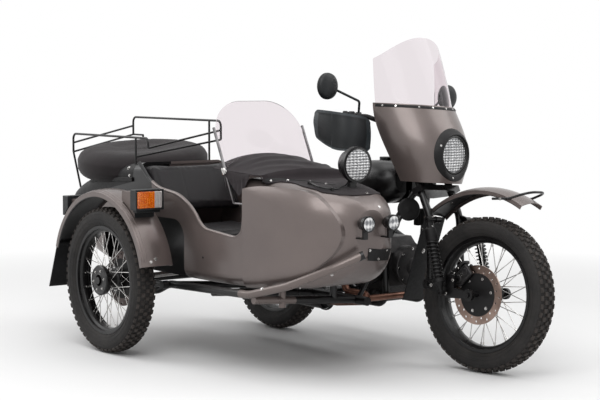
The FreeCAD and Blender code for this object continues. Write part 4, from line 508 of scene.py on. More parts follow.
# Camera, at the photograph's place
cameraPlace = {"spot": (-4831, -6534.5, 1307.8), "yaw": 0.6508, "pitch": -0.0796, "roll": 0.0022,
               "lens": 95.2516, "sensor": 36, "width": 600, "height": 400}


def makeCamera():
    yaw, pitch, roll = cameraPlace["yaw"], cameraPlace["pitch"], cameraPlace["roll"]
    ahead = Vector((math.sin(yaw) * math.cos(pitch), math.cos(yaw) * math.cos(pitch), math.sin(pitch)))
    right = ahead.cross(Vector((0, 0, 1))).normalized()
    up = right.cross(ahead)
    right, up = right * math.cos(roll) + up * math.sin(roll), up * math.cos(roll) - right * math.sin(roll)
    data = bpy.data.cameras.new("photoCamera")
    data.lens, data.sensor_width, data.clip_end = cameraPlace["lens"], cameraPlace["sensor"], 60
    camera = linked("photoCamera", data)
    camera.matrix_world = Matrix((right, up, -ahead)).transposed().to_4x4()
    camera.location = at(*cameraPlace["spot"])
    scene.camera = camera


# Floor that fades to white, white backdrop and four soft lamps: place, size and power
studio = {"floorTone": 0.8, "fade": (2.3, 4.6), "world": 0.45, "aim": (0, 0, 0.5), "white": (1, 1, 1, 1),
          "lamps": [((-3.2, -3.0, 4.6), 4.0, 178), ((3.6, -2.6, 3.8), 3.4, 76), ((-2.6, 3.2, 3.6), 3.0, 76),
                    ((0.3, -0.4, 5.4), 4.4, 92)]}


def makeStudio():
    floor = linked("floor", bpy.data.meshes.new("floor"))
    floor.data.from_pydata([(-40, -40, 0), (40, -40, 0), (40, 40, 0), (-40, 40, 0)], [], [(0, 1, 2, 3)])
    tree = newFinish("floorPale", {"Base Color": (studio["floorTone"],) * 3 + (1,), "Roughness": 0.75})
    reach = vectorOf(tree, "LENGTH", coordinatesOf(tree)["Object"], out="Value")
    glow = wired(tree, "ShaderNodeEmission", {"Color": studio["white"], "Strength": 1.0})
    blend = wired(tree, "ShaderNodeMixShader", {0: ranged(tree, reach, 0, 1, *studio["fade"]),
                                                1: tree.nodes["Principled BSDF"].outputs[0], 2: glow})
    feed(tree, tree.nodes["Material Output"], {"Surface": blend})
    floor.data.materials.append(finishes["floorPale"])
    world = bpy.data.worlds.new("studio")
    world.use_nodes = True
    tree = world.node_tree
    feed(tree, tree.nodes["Background"], {"Strength": studio["world"], "Color": studio["white"]})
    rays = tree.nodes.new("ShaderNodeLightPath").outputs
    seen = wired(tree, "ShaderNodeBackground", {"Strength": 1.0, "Color": studio["white"]})
    direct = reckoned(tree, "MAXIMUM", rays["Is Camera Ray"], rays["Is Glossy Ray"])
    direct = reckoned(tree, "MAXIMUM", direct, rays["Is Transmission Ray"])
    mix = wired(tree, "ShaderNodeMixShader", {0: direct, 1: tree.nodes["Background"].outputs[0], 2: seen})
    feed(tree, tree.nodes["World Output"], {"Surface": mix})
    scene.world = world
    for i, (place, size, power) in enumerate(studio["lamps"]):
        data = bpy.data.lights.new("softLamp" + str(i), "AREA")
        data.size, data.energy = size, power
        lamp = linked("softLamp" + str(i), data)
        lamp.location, lamp.rotation_mode = place, "QUATERNION"
        lamp.rotation_quaternion = (Vector(studio["aim"]) - Vector(place)).to_track_quat("-Z", "Y")


makeCamera()
makeStudio()
scene.view_settings.view_transform = "Standard"
print("studio ready")


# Finishes of the solids that stay
def coated(nodeName, finish):
    slots = nodeOf[nodeName].data.materials
    slots.clear()
    slots.append(finishes[finish])


nodeFinishes = {
    "bodyPaint": ["front_fender", "fairing", "rear_fender", "sidecar_tub", "sidecar_fender"],
    "blackPaint": ["front_fork", "leading_link", "fender_loop", "headlamp_housing", "bike_frame", "fuel_tank",
                   "mufflers", "side_covers", "swing_arm", "luggage_rack", "sidecar_frame", "sidecar_struts",
                   "sidecar_arm", "nose_lamps"],
    "satinBlack": ["handlebar", "trunk_lid", "front_wire_wheel", "rear_wire_wheel", "sidecar_wire_wheel",
                   "front_shocks", "rear_shocks"],
    "tyreBlack": ["front_tyre", "rear_tyre", "sidecar_tyre"],
    "rubber": ["front_flap", "sidecar_flap", "grips_and_levers"],
    "plastic": ["hand_guards", "mirrors", "intake", "marker_lamps"],
    "screenGlass": ["windscreen", "side_screen"],
    "lampGlass": ["headlamp_lens", "clear_lenses"],
    "vinyl": ["saddle", "seat_cushion", "seat_back"],
    "darkAlloy": ["engine_block", "engine_cylinders"],
    "copper": ["exhaust_pipes"],
    "redGlass": ["tail_lamp"],
    "coverCloth": ["spare_wheel_cover"],
    "cloth": ["tonneau_cover"],
    "brightSteel": ["drive_shaft"],
    "brushedRail": ["side_screen_frame"],
    "amberGlass": ["marker_lenses"],
}
for name, nodeNames in nodeFinishes.items():
    for nodeName in nodeNames:
        coated(nodeName, name)

steeredHub = steered @ at(*stance["frontHub"])
usedSteel, darkSteel = ((122, 106, 98), (166, 146, 136)), ((70, 66, 66), (96, 92, 92))
for name, hub, axis, tones in (("front", steeredHub, steered.to_3x3() @ xAxis, usedSteel),
                               ("rear", at(*stance["rearHub"]), xAxis, usedSteel),
                               ("sidecar", at(*stance["sideHub"]), xAxis, darkSteel)):
    discFinish(name + "_brake_discSteel", hub, axis, *tones)
    coated(name + "_brake_disc", name + "_brake_discSteel")
print("solids finished")


# Tyres: a carcass with bead lines and rows of staggered blocks
# A row is its place across the tyre, its block's width, length and lean, and its shift round the tyre
tyreLook = {"crown": 333.2, "blocks": 58, "blockHeight": 8.4, "sink": -3.0, "edge": 0.9,
            "sections": [(34.6, 243.4), (34.6, 255), (46, 265), (51.6, 281), (53, 296), (50.6, 312), (46, 321),
                         (37, 327.4), (24, 331.5), (10, 333.0)], "lines": [(47.6, 268), (52.4, 286.5), (51.0, 309)],
            "rows": [(0, 17, 17, 0, 0.0), (20.5, 17, 19, 9, 0.5), (-20.5, 17, 19, -9, 0.5),
                     (38.5, 13, 22, 30, 0.0), (-38.5, 13, 22, -30, 0.0)]}


def treadBlock(across, width, length, lean, shift):
    look, tilt, corners = tyreLook, math.radians(lean), []
    reach = look["crown"] - abs(across) ** 2.35 / 620
    top = look["blockHeight"]
    for level, shrink in ((look["sink"], 1.0), (top - look["edge"], 0.93), (top, 0.84)):
        for sx, sy in ((-1, -1), (1, -1), (1, 1), (-1, 1)):
            x = across + sx * width / 2 * shrink * math.cos(tilt) + level * math.sin(tilt)
            r = reach - sx * width / 2 * shrink * math.sin(tilt) + level * math.cos(tilt)
            a = shift * (2 * math.pi / look["blocks"]) + sy * length / 2 * shrink / reach
            corners.append(Vector((x / 1000, r * math.sin(a) / 1000, r * math.cos(a) / 1000)))
    faces = [(0, 3, 2, 1), (8, 9, 10, 11)]
    for k in (0, 4):
        faces += [(k + i, k + (i + 1) % 4, k + 4 + (i + 1) % 4, k + 4 + i) for i in range(4)]
    return meshOf("block", corners, faces, 30)


def tyreSet(label, body, node, hub, turned):
    look, centre = tyreLook, at(*hub)
    profile = look["sections"] + [(0, look["crown"])] + [(-a, r) for a, r in look["sections"][::-1]]
    rings = [turnedPiece("carcass", profile, centre, xAxis, 112, 40)]
    rings += [turnedPiece("line", [(side * (d - 1.6), r - 1.2), (side * (d + 0.7), r), (side * (d - 1.6), r + 1.2)],
                          centre, xAxis, 96, 60) for side in (-1, 1) for d, r in look["lines"]]
    madeOf(label + "TyreCarcass", rings, 40, "tyreBlack", body, "black_tyre", node, turned=turned)
    part = joined("blockSet", [treadBlock(*row) for row in look["rows"]], 30)
    tread = ringOf(label + "TyreTread", part, look["blocks"], centre, "treadRubber")
    dressed(tread, "treadRubber", body, "black_tyre", turned=turned)


# Wire wheels: black rim and hub, bright crossed spokes with nipples. A drum is its x, radius and eye
wheelLook = {"spokes": 10, "flange": 54, "rimReach": 229, "sweep": 34, "thick": 1.9, "nipple": 3.4, "hubSide": 30.0,
             "crossings": ((1, 0, 1), (1, 12, -1), (-1, 18, 1), (-1, 30, -1)), "drum": (-1113, 71, 26),
             "rim": [(-38, 255), (-34.6, 255.4), (-34.6, 244), (-20, 243), (-14, 230), (14, 230), (20, 243),
                     (34.6, 244), (34.6, 255.4), (38, 255), (38.4, 248), (37, 240.4), (24, 239), (17.5, 229),
                     (12, 226.4), (-12, 226.4), (-17.5, 229), (-24, 239), (-37, 240.4), (-38.4, 248)],
             "shell": [(-46, 12), (-46, 27), (-43, 30.4), (-34, 31), (-34, 61), (-32.6, 62.6), (-28, 62), (-27, 44),
                       (-20, 37), (-8, 34), (8, 34), (20, 37), (27, 44), (28, 62), (32.6, 62.6), (34, 61), (34, 31),
                       (43, 30.4), (46, 27), (46, 12)]}


def spokeParts(side, turn, way):
    look = wheelLook
    a, b = math.radians(turn), math.radians(turn + way * look["sweep"])
    start = Vector((side * look["hubSide"], look["flange"] * math.sin(a), look["flange"] * math.cos(a))) / 1000
    end = Vector((side * 5, look["rimReach"] * math.sin(b), look["rimReach"] * math.cos(b))) / 1000
    run = (end - start).normalized()
    out = Vector((side * 0.003, 0, 0))
    return [tubeOf("spoke", line, radius, 8, "POLY") for line, radius in (
        ([start - run * 0.003, start + (end - start) * 0.5, end], look["thick"]),
        ([end - run * 0.017, end - run * 0.002], look["nipple"]), ([start + out, start - out], look["thick"] * 1.9))]


def wheelSet(label, body, node, hub, turned, drum):
    look, centre = wheelLook, at(*hub)
    pieces = [turnedPiece("rim", look["rim"], centre, xAxis, 96, 30),
              turnedPiece("hub", look["shell"], centre, xAxis, 48, 30)]
    farSide = (34, 49.5)
    if drum:
        x, r, eye = drum
        d = x - hub[0]
        cap = [(-34, 30), (-34, r - 3), (d + 6, r - 1), (d + 3, r), (d - 1, r), (d - 7, r - 5), (d - 7, r - 12),
               (d - 5.6, r - 14), (d - 5.6, eye + 6), (d - 7, eye + 4), (d - 7, eye + 1), (d - 4, eye), (-44, eye),
               (-40, 30)]
        pieces.append(turnedPiece("drum", cap, centre, xAxis, 64, 30))
        farSide = (5.6 - d, 47)
    madeOf(label + "WheelRimAndHub", pieces, 30, "blackPaint", body, "black_paint", node, turned=turned)
    part = joined("spokeSet", [tube for crossing in look["crossings"] for tube in spokeParts(*crossing)], 50)
    spokes = ringOf(label + "WheelSpokes", part, look["spokes"], centre, "brightSteel")
    dressed(spokes, "brightSteel", body, "bare_steel", turned=turned)
    bolts = [boltRing("bolts", hub, side * out, reach, 4.2, 5, 0.35)
             for side, (out, reach) in ((-1, farSide), (1, (34, 49.5)))]
    madeOf(label + "WheelBolts", bolts, 25, "brightSteel", body, "bare_steel", turned=turned)


# A wheel is its label, body, kind, hub, whether it's steered, its drum and its disc bolts' place across
wheels = (("front", "front_wheel", "front", stance["frontHub"], True, None, -67.5),
          ("rear", "rear_wheel", "rear", stance["rearHub"], False, None, 67.5),
          ("side", "sidecar_wheel", "sidecar", stance["sideHub"], False, wheelLook["drum"], 69.2))
for label, body, kind, hub, turned, drum, _ in wheels:
    tyreSet(label, body, kind + "_tyre", hub, turned)
for label, body, kind, hub, turned, drum, _ in wheels:
    wheelSet(label, body, kind + "_wire_wheel", hub, turned, drum)
print("tyres and wheels made")


# Spring units: coil, damper body and eyes
springLook = {"turns": 11.0, "wire": 3.4, "radius": 23.2, "eye": [(-13, 6), (-13, 12.6), (-11, 14), (11, 14),
                                                                  (13, 12.6), (13, 6)]}


def springUnit(label, top, foot, body, node, turned, cover):
    run, look = foot - top, springLook
    length, down = run.length * 1000, run.normalized()
    low, high = top + run * 0.84, top + run * (cover - 0.02)
    coil = grown(label + "Coil", coilTree, {"Turns": look["turns"], "Radius": look["radius"] / 1000,
                                            "Wire": look["wire"] / 1000, "Height": (low - high).length}, "satinBlack")
    turn = Vector((0, 0, 1)).rotation_difference(down).to_matrix().to_4x4()
    coil.data.transform(Matrix.Translation(high) @ turn)
    dressed(coil, "blackPaint", body, "black_paint", turned=turned)
    a, b = length * 0.12, length * cover
    shape = [(0, 0), (0, 11), (a * 0.8, 11), (a, 24), (a + 4, 27), (b - 5, 27), (b, 25.4), (b, 17), (b + 1, 15.5),
             (length * 0.8, 15.5), (length * 0.81, 27), (length * 0.86, 27.6), (length * 0.88, 22),
             (length * 0.93, 12), (length, 11), (length, 0)]
    parts = [turnedPiece("damper", shape, top, down, 32, 30, False)]
    parts += [turnedPiece("eye", look["eye"], p, xAxis, 28, 30) for p in (top, foot)]
    madeOf(label + "Damper", parts, 30, "satinBlack", body, "black_paint", *node, turned=turned)


springs = {"front": {"top": (165.2, -1308, 654), "foot": (165.2, -1402, 342), "body": "steering", "cover": 0.3},
           "rear": {"top": (152.3, -119, 735.6), "foot": (138, -62, 342), "body": "chassis", "cover": 0.22}}
for label, look in springs.items():
    for side, name in ((-1, "Right"), (1, "Left")):
        top, foot = [at(side * x, y, z) for x, y, z in (look["top"], look["foot"])]
        springUnit(label + "Spring" + name, top, foot, look["body"], [label + "_shocks"] if side < 0 else [],
                   label == "front", look["cover"])
print("springs made")


# Rays onto the solids, from any side or along the photograph's own lines
skins = {}


def castOn(start, way, *names):
    best = None
    for name in names:
        if name not in skins:
            mesh = bpy.data.objects[name].data if name in bpy.data.objects else nodeOf[name].data
            skins[name] = BVHTree.FromPolygons([v.co for v in mesh.vertices], [p.vertices for p in mesh.polygons])
        spot, normal, _, far = skins[name].ray_cast(start, way)
        if spot is not None and (best is None or far < best[2]):
            best = (spot, normal if normal.dot(way) < 0 else -normal, far)
    return best


def castSteered(x, y, z, way, *names):
    # The ray is given with the steering straight ahead
    return castOn(steered @ at(x, y, z), steered.to_3x3() @ Vector(way), *names)


def seenAt(u, v, *names):
    # Where the photograph's line at (u, v) first meets the solids
    look = cameraPlace
    pixels = look["lens"] / look["sensor"] * look["width"]
    turn = scene.camera.matrix_basis.to_3x3()
    sight = turn @ Vector(((u - look["width"] / 2) / pixels, (look["height"] / 2 - v) / pixels, -1))
    return castOn(scene.camera.location, sight.normalized(), *names)


def boltsSeen(name, body, dots, nodeNames, radius, height=5, finish="brightSteel", slot="bare_steel"):
    # Bolt heads where the photograph shows them; a dot may end in a radius of its own
    heads = []
    for u, v, *size in dots:
        hit = seenAt(u, v, *nodeNames)
        if hit:
            size = size[0] if size else radius
            heads.append(boltAt(hit[0] - hit[1] * 0.0008, hit[1], size, height * size / radius))
    print(name, "met", len(heads), "of", len(dots))
    madeOf(name, heads, 25, finish, body, slot)


def splineAt(dots, t):
    # A smooth curve through points or numbers, t from 0 to 1
    t *= len(dots) - 1
    k = min(int(t), len(dots) - 2)
    s = t - k
    a, b, c, d = dots[max(k - 1, 0)], dots[k], dots[k + 1], dots[min(k + 2, len(dots) - 1)]
    return 0.5 * (2 * b + (c - a) * s + (2 * a - 5 * b + 4 * c - d) * s * s + (3 * b - a - 3 * c + d) * s ** 3)


def evened(normals, rounds):
    last = len(normals) - 1
    for _ in range(rounds):
        normals = [(normals[max(i - 1, 0)] + n + normals[min(i + 1, last)]).normalized()
                   for i, n in enumerate(normals)]
    return normals


def bandOf(name, points, normals, width, thick, lift=0.2):
    # A flat strap that lies on a surface: points along it and the surface's outward side at each
    corners, faces, count = [], [], len(points)
    for i, (p, n) in enumerate(zip(points, normals)):
        run = (points[min(i + 1, count - 1)] - points[max(i - 1, 0)]).normalized()
        across = run.cross(n).normalized() * (width / 2000)
        for side, rise in ((-1, lift), (-1, lift + thick * 0.7), (-0.8, lift + thick), (0.8, lift + thick),
                           (1, lift + thick * 0.7), (1, lift)):
            corners.append(p + across * side + n * (rise / 1000))
    for i in range(0, (count - 1) * 6, 6):
        faces += [(i + k, i + (k + 1) % 6, i + 6 + (k + 1) % 6, i + 6 + k) for k in range(6)]
    faces += [tuple(range(6))[::-1], tuple((count - 1) * 6 + k for k in range(6))]
    return meshOf(name, corners, faces, 40)


def bandSeen(name, dots, nodeNames, width, thick, steps=24, lift=0.2):
    # A strap through photograph points, laid on the solids
    line = [Vector((*d, 0)) for d in dots]
    line = [splineAt(line, i / steps) for i in range(steps + 1)]
    hits = [hit for hit in (seenAt(p.x, p.y, *nodeNames) for p in line) if hit]
    return bandOf(name, [hit[0] for hit in hits], evened([hit[1] for hit in hits], 2), width, thick, lift)


# Finishes that change across a part
def corner(x=None, y=None, z=None):
    # A box's corner; a side left out stays open
    return [None if a is None else p for a, p in zip((x, y, z), at(x or 0, y or 0, z or 0))]


def inBox(tree, low, high):
    # 1 inside a box of object coordinates, 0 outside
    axes = wired(tree, "ShaderNodeSeparateXYZ", {0: coordinatesOf(tree)["Object"]}).node.outputs
    found = None
    for axis in range(3):
        for edge, kind in ((low[axis], "GREATER_THAN"), (high[axis], "LESS_THAN")):
            if edge is not None:
                test = reckoned(tree, kind, axes[axis], edge)
                found = reckoned(tree, "MULTIPLY", found, test) if found else test
    return found


def turnedTo(tree, centre, plane, low, high):
    # 1 on the faces that look at an axis through the centre
    place = coordinatesOf(tree)
    away = vectorOf(tree, "MULTIPLY", vectorOf(tree, "SUBTRACT", place["Object"], tuple(centre)), plane)
    return ranged(tree, vectorOf(tree, "DOT_PRODUCT", away, place["Normal"], out="Value"), 1, 0, low, high)


def twoTone(name, base, factorOf, tone, metal=0.0, node=None):
    # A copy of a finish with another tone where the factor is 1
    finishes[name] = finishes[base].copy()
    finishes[name].name = name
    tree = finishes[name].node_tree
    sockets = tree.nodes["Principled BSDF"].inputs
    factor = factorOf(tree)
    coat(tree, {"Base Color": mixed(tree, factor, sockets["Base Color"].links[0].from_socket, rgba(tone)),
                "Metallic": ranged(tree, factor, sockets["Metallic"].default_value, metal, 0, 1)})
    if node:
        coated(node, name)


tubTones = {"arch": ((-878, -484, 300), (-800, 254, 652)), "quarter": {"y": -205, "z": 712}, "quarterEnd": -700,
            "inside": ((-868, -1330, 386), (-397, -30, 868)), "middle": (-633, 0, 700), "paint": (104, 95, 92)}


def tubDark(tree):
    # The wheel arch's recess and the skin just below it, near black partly as black paint and partly as painted shade,
    # and the rear quarter, dark like the lid
    arch = inBox(tree, *[at(*p) for p in tubTones["arch"]])
    quarter = inBox(tree, corner(**tubTones["quarter"]), corner(x=tubTones["quarterEnd"]))
    return reckoned(tree, "MAXIMUM", arch, quarter)


def lookingIn(tree):
    # The cockpit's inner faces, behind the rim
    inside = inBox(tree, *[at(*p) for p in tubTones["inside"]])
    return reckoned(tree, "MULTIPLY", inside, turnedTo(tree, at(*tubTones["middle"]), (1, 0, 1), -0.04, 0.0))


# The tub: near black in the wheel arch, partly black paint and partly painted shade, and dark on the rear quarter
twoTone("tubPaint", "bodyPaint", tubDark, (19, 18, 20))
twoTone("tubLinedPaint", "tubPaint", lookingIn, (24, 22, 24), node="sidecar_tub")
# Painted shade: each fender's faces that look at its wheel are painted near black, for the shade between fender and
# tyre
for name, node, hub, tone in (("sideFenderPaint", "sidecar_fender", at(*stance["sideHub"]), (17, 16, 17)),
                              ("rearFenderPaint", "rear_fender", at(*stance["rearHub"]), (17, 16, 17)),
                              ("frontFenderPaint", "front_fender", steeredHub, (15, 14, 15))):
    twoTone(name, "bodyPaint", lambda tree: turnedTo(tree, hub, (0, 1, 1), -0.12, -0.02), tone, node=node)
twoTone("markerPaint", "plastic", lambda tree: inBox(tree, corner(y=-401.5), corner(y=174.5)), tubTones["paint"],
        0.5, "marker_lamps")
twoTone("frameAndMoulding", "blackPaint", lambda tree: inBox(tree, corner(), corner(x=-700, y=-975)),
        tubTones["paint"], 0.5, "sidecar_frame")
twoTone("markerGlass", "amberGlass", lambda tree: inBox(tree, corner(x=-1024), corner(y=-300)), (208, 202, 200), 0.3)
print("two tone finishes made")


# Lamps: pressed glass in front, dark rims round them
lampLook = {"headlamp": {"centre": (0, -1297, 945), "radius": 80, "rise": 9, "thick": 12, "flute": 0.5, "pitch": 12},
            "spot": {"centre": (-560, -1331.5, 922), "radius": 66, "rise": 8.6, "thick": 7, "flute": 0.45,
                     "pitch": 11},
            "fogs": [(-668, -1537.5, 689), (-534, -1537.5, 689)],
            "fog": {"radius": 28, "rise": 3.6, "thick": 4, "flute": 0.3, "pitch": 9},
            "markerX": -1048, "markerRims": ((-442, 738, -1), (215.4, 672, 1)),
            "rimBars": ((0, 43.5, (148, 12, 7)), (0, -43.5, (148, 12, 7)), (70.5, 0, (7, 12, 88)),
                        (-70.5, 0, (7, 12, 88)))}


def domeOf(centre, look, rings=24, steps=96):
    # A round moulded lens that looks forward: bulged, with pressed flutes, and a flat back
    rise, pitch = look["rise"], look["pitch"]
    points, faces = [at(*centre) - Vector((0, rise / 1000, 0))], []
    for i in range(1, rings + 1):
        r = look["radius"] * i / rings
        for j in range(steps):
            a = 2 * math.pi * j / steps
            x, z = r * math.cos(a), r * math.sin(a)
            wave = math.sin(2 * math.pi * (z + 1.6 * math.sin(x / pitch * 2.4)) / pitch)
            lift = rise * (1 - (i / rings) ** 2) + look["flute"] * min(1, (rings - i) / 3) * wave
            points.append(at(*centre) + Vector((x, -lift, z)) / 1000)
    for j in range(steps):
        faces.append((0, 1 + j, 1 + (j + 1) % steps))
        for a in range(1, 1 + (rings - 1) * steps, steps):
            b = a + steps
            faces.append((a + j, b + j, b + (j + 1) % steps, a + (j + 1) % steps))
    edge, back = 1 + (rings - 1) * steps, len(points)
    points += [p + Vector((0, look["thick"] / 1000, 0)) for p in points[edge:]]
    faces += [(edge + j, back + j, back + (j + 1) % steps, edge + (j + 1) % steps) for j in range(steps)]
    faces.append(tuple(back + j for j in range(steps))[::-1])
    return meshOf("lens", points, faces, 40)


def markerLens(name, y, z, size, facing, finish, *nodes):
    # A moulded lens with pressed ribs, bevelled towards its rim
    x = lampLook["markerX"]
    parts = [blockOf(at(x, y, z), size, 3.2, 3)]
    parts += [blockOf(at(x + k * size[0] / 10.5, y + facing * (size[1] / 2 + 0.2), z), (2.2, 1.6, size[2] * 0.78),
                      0.6, 1) for k in range(-4, 5) if k]
    madeOf(name, parts, 30, finish, "chassis", "amber_glass", *nodes)


def lampSet():
    look = lampLook
    madeOf("headlampGlass", [domeOf(look["headlamp"]["centre"], look["headlamp"])], 40, "flutedGlass", "steering",
           "lamp_glass", "headlamp_lens", turned=True)
    madeOf("spotGlass", [domeOf(look["spot"]["centre"], look["spot"])], 40, "flutedGlass", "chassis", "lamp_glass",
           "clear_lenses")
    madeOf("fogGlasses", [domeOf(spot, look["fog"], 12, 48) for spot in look["fogs"]], 40, "fogGlass", "chassis",
           "lamp_glass")
    rims = []
    for centre, r in ((look["spot"]["centre"], 69.6), *((c, 30.6) for c in look["fogs"])):
        lip = r * 0.06
        shape = [(-2, r - 1.5 * lip), (1.2, r - lip), (2.4, r - lip * 0.4), (1.4, r + 0.4), (-5, r + 0.8),
                 (-6, r + 0.2), (-6, r - 1.5 * lip)]
        rims.append(turnedPiece("rim", shape, at(*centre), (0, -1, 0), 72, 30))
    madeOf("lampRims", rims, 30, "blackPaint", "chassis", "black_paint")
    r = look["headlamp"]["radius"]
    shape = [(-4, r - 2), (3, r - 2), (5.4, r), (6, r + 3), (4.6, r + 6.5), (0.6, r + 8), (-6, r + 8), (-6, r)]
    ring = turnedPiece("headlampRing", shape, at(*look["headlamp"]["centre"]), (0, -1, 0), 96, 30)
    dressed(ring, "blackPaint", "steering", "black_paint", turned=True)
    markerLens("frontMarkerLens", -446.6, 738, (130, 9, 76), -1, "markerGlass", "marker_lenses")
    markerLens("rearMarkerLens", 219.6, 672, (130, 9, 75), 1, "amberGlass")
    x = look["markerX"]
    rims = [blockOf(at(x + dx, y + facing * 3.5, z + dz), size, 2.4, 2)
            for y, z, facing in look["markerRims"] for dx, dz, size in look["rimBars"]]
    rims.append(blockOf(at(x, -421, 738 - 52), (126, 36, 14), 5, 3))
    madeOf("markerRims", rims, 30, "plastic", "chassis", "black_plastic")


lampSet()
print("lamps made")


# Upholstery: cloth blown up from each pad's own solid and held close to it. Sizes in metres
padLook = {"frames": 20, "pressure": 4.0,
           "saddlePad": {"node": "saddle", "voxel": 0.0072, "inset": 0.004, "cap": 0.009, "rest": (0, 0, -1),
                         "fill": 0.8},
           "cushionPad": {"node": "seat_cushion", "voxel": 0.0075, "inset": 0.005, "cap": 0.011,
                          "rest": (0, 0, -1), "fill": 0.75},
           "backPad": {"node": "seat_back", "voxel": 0.0065, "inset": 0.004, "cap": 0.008, "rest": (0, 1, 0),
                       "fill": 0.8}}


def blownUp(piece, start, outward, look):
    # Presses the pad outwards, with a cap on how far a point moves, and less on the side that rests
    mesh, cloth = piece.data, piece.modifiers.new("filling", "CLOTH")
    settings = cloth.settings
    settings.use_pressure, settings.uniform_pressure_force = True, padLook["pressure"]
    settings.effector_weights.gravity, settings.quality = 0, 5
    settings.tension_stiffness = settings.compression_stiffness = 12
    settings.bending_stiffness = 0.6
    cloth.collision_settings.use_collision = False
    cloth.point_cache.frame_start, cloth.point_cache.frame_end = 1, padLook["frames"]
    for step in range(1, padLook["frames"] + 1):
        scene.frame_set(step)
    graph = bpy.context.evaluated_depsgraph_get()
    swollen = bpy.data.meshes.new_from_object(piece.evaluated_get(graph), depsgraph=graph)
    moved = [v.co.copy() for v in swollen.vertices]
    piece.modifiers.clear()
    bpy.data.meshes.remove(swollen)
    scene.frame_set(1)
    rest = Vector(look["rest"])
    for v, p, q, n in zip(mesh.vertices, start, moved, outward):
        step = q - p
        if step.length > look["cap"]:
            step *= look["cap"] / step.length
        v.co = p + step * max(0.0, 1 - 1.6 * max(0.0, n.dot(rest) - 0.35))


def sewn(distance, width, depth):
    return depth * max(0.0, 1 - abs(distance) / width) ** 1.5


def saddleGroove(x, y, z):
    x = abs(x)
    deep = sum(sewn(y - k, 7, 3.2) for k in (-470, -330, -190, -60, 60)) if z > 806 and x < 104 else 0
    return deep + sewn(x - 104, 7, 3.0) * (1 if z > 800 else 0)


def cushionGroove(x, y, z):
    if z < 560:
        return sewn(z - 548, 7, 3.2)
    return sum(sewn(x + k, 7, 3.4) for k in (520, 604, 688)) * (1 if y > -590 else 0) + sewn(y + 590, 7, 3.2)


def backGroove(x, y, z):
    return sewn(z - 850, 6, 1.6) + (sum(sewn(x + k, 6, 1.2) for k in (560, 700)) if z < 850 else 0)


def madePad(name, groove):
    look, work = padLook[name], bmesh.new()
    work.from_mesh(nodeOf[look["node"]].data)
    bmesh.ops.remove_doubles(work, verts=work.verts, dist=1e-5)
    piece = keptWork(name, work)
    shape = piece.modifiers.new("shape", "REMESH")
    shape.mode, shape.voxel_size = "VOXEL", look["voxel"]
    mesh = settled(piece).data
    start = [v.co - v.normal * look["inset"] for v in mesh.vertices]
    outward = [v.normal.copy() for v in mesh.vertices]
    for v, p in zip(mesh.vertices, start):
        v.co = p
    blownUp(piece, start, outward, look)
    mesh.update()
    for v in mesh.vertices:
        v.co -= v.normal * groove(*measured(v.co)) / 1000
    finer = piece.modifiers.new("finer", "SUBSURF")
    finer.levels = finer.render_levels = 1
    mesh = settled(piece).data
    mesh.polygons.foreach_set("use_smooth", [True] * len(mesh.polygons))
    dressed(piece, "vinyl", "chassis", "black_vinyl", look["node"])
    print(name, "filled,", len(mesh.polygons), "faces")


madePad("saddlePad", saddleGroove)
madePad("cushionPad", cushionGroove)
madePad("backPad", backGroove)


# Spare wheel's cover: a fitted cloth drum. Each share is a height and a radius of its outline
coverLook = {"centre": (-622, 299, 868), "radius": 328, "half": 76, "sideTilt": -5, "rearTilt": 3.8, "inset": 1.2,
             "shares": [(0.86, 0), (0.875, 0.3), (0.88, 0.42), (0.925, 0.49), (0.97, 0.56), (0.992, 0.63),
                        (1.0, 0.7), (0.985, 0.76), (0.96, 0.82), (0.9, 0.867), (0.82, 0.91), (0.71, 0.944),
                        (0.58, 0.97), (0.44, 0.985)], "band": (0.3, 0.2, 0.1, 0, -0.1, -0.2, -0.3)}


def spareCover():
    look, inset = coverLook, coverLook["inset"]
    up = [(look["half"] * w - inset, look["radius"] * r - inset) for w, r in look["shares"]]
    out = [(look["half"] * w, look["radius"] - inset) for w in look["band"]]
    tip = up[0][0]
    profile = [(tip, 0.5)] + up[1:] + out + [(-a, r) for a, r in up[:0:-1]] + [(-tip, 0.5)]
    cover = turnedPiece("spareCover", profile, Vector((0, 0, 0)), (0, 0, 1), 144, 60, False)
    work = bmesh.new()
    work.from_mesh(cover.data)
    bmesh.ops.holes_fill(work, edges=[e for e in work.edges if e.is_boundary], sides=0)
    bmesh.ops.recalc_face_normals(work, faces=work.faces)
    work.normal_update()
    for v in work.verts:
        a = math.atan2(v.co.y, v.co.x)
        share = math.hypot(v.co.x, v.co.y) / (look["radius"] / 1000)
        side = abs(v.co.z) / (look["half"] / 1000)
        slack = 0.0016 * noise.noise(Vector((math.cos(a) * 3, math.sin(a) * 3, v.co.z * 9)))
        pull = 0.0011 * noise.noise(Vector((math.cos(a) * 15, math.sin(a) * 15, v.co.z * 5))) * min(1, 2 * side)
        seam = 0.0012 * max(0.0, 1 - abs(share - 0.86) / 0.012) * (1 if side > 0.3 else 0)
        v.co -= v.normal * (0.0012 + slack + pull + seam) if v.normal.length else Vector()
    work.to_mesh(cover.data)
    work.free()
    cover.data.transform(Matrix.Translation(at(*look["centre"]))
                         @ (Matrix.Rotation(math.radians(look["rearTilt"]), 4, "X")
                            @ Matrix.Rotation(math.radians(look["sideTilt"]), 4, "Y")))
    dressed(smoothed(cover, 70), "coverCloth", "trunk_lid_body", "dark_cloth", "spare_wheel_cover")


spareCover()
print("spare wheel's cover made")


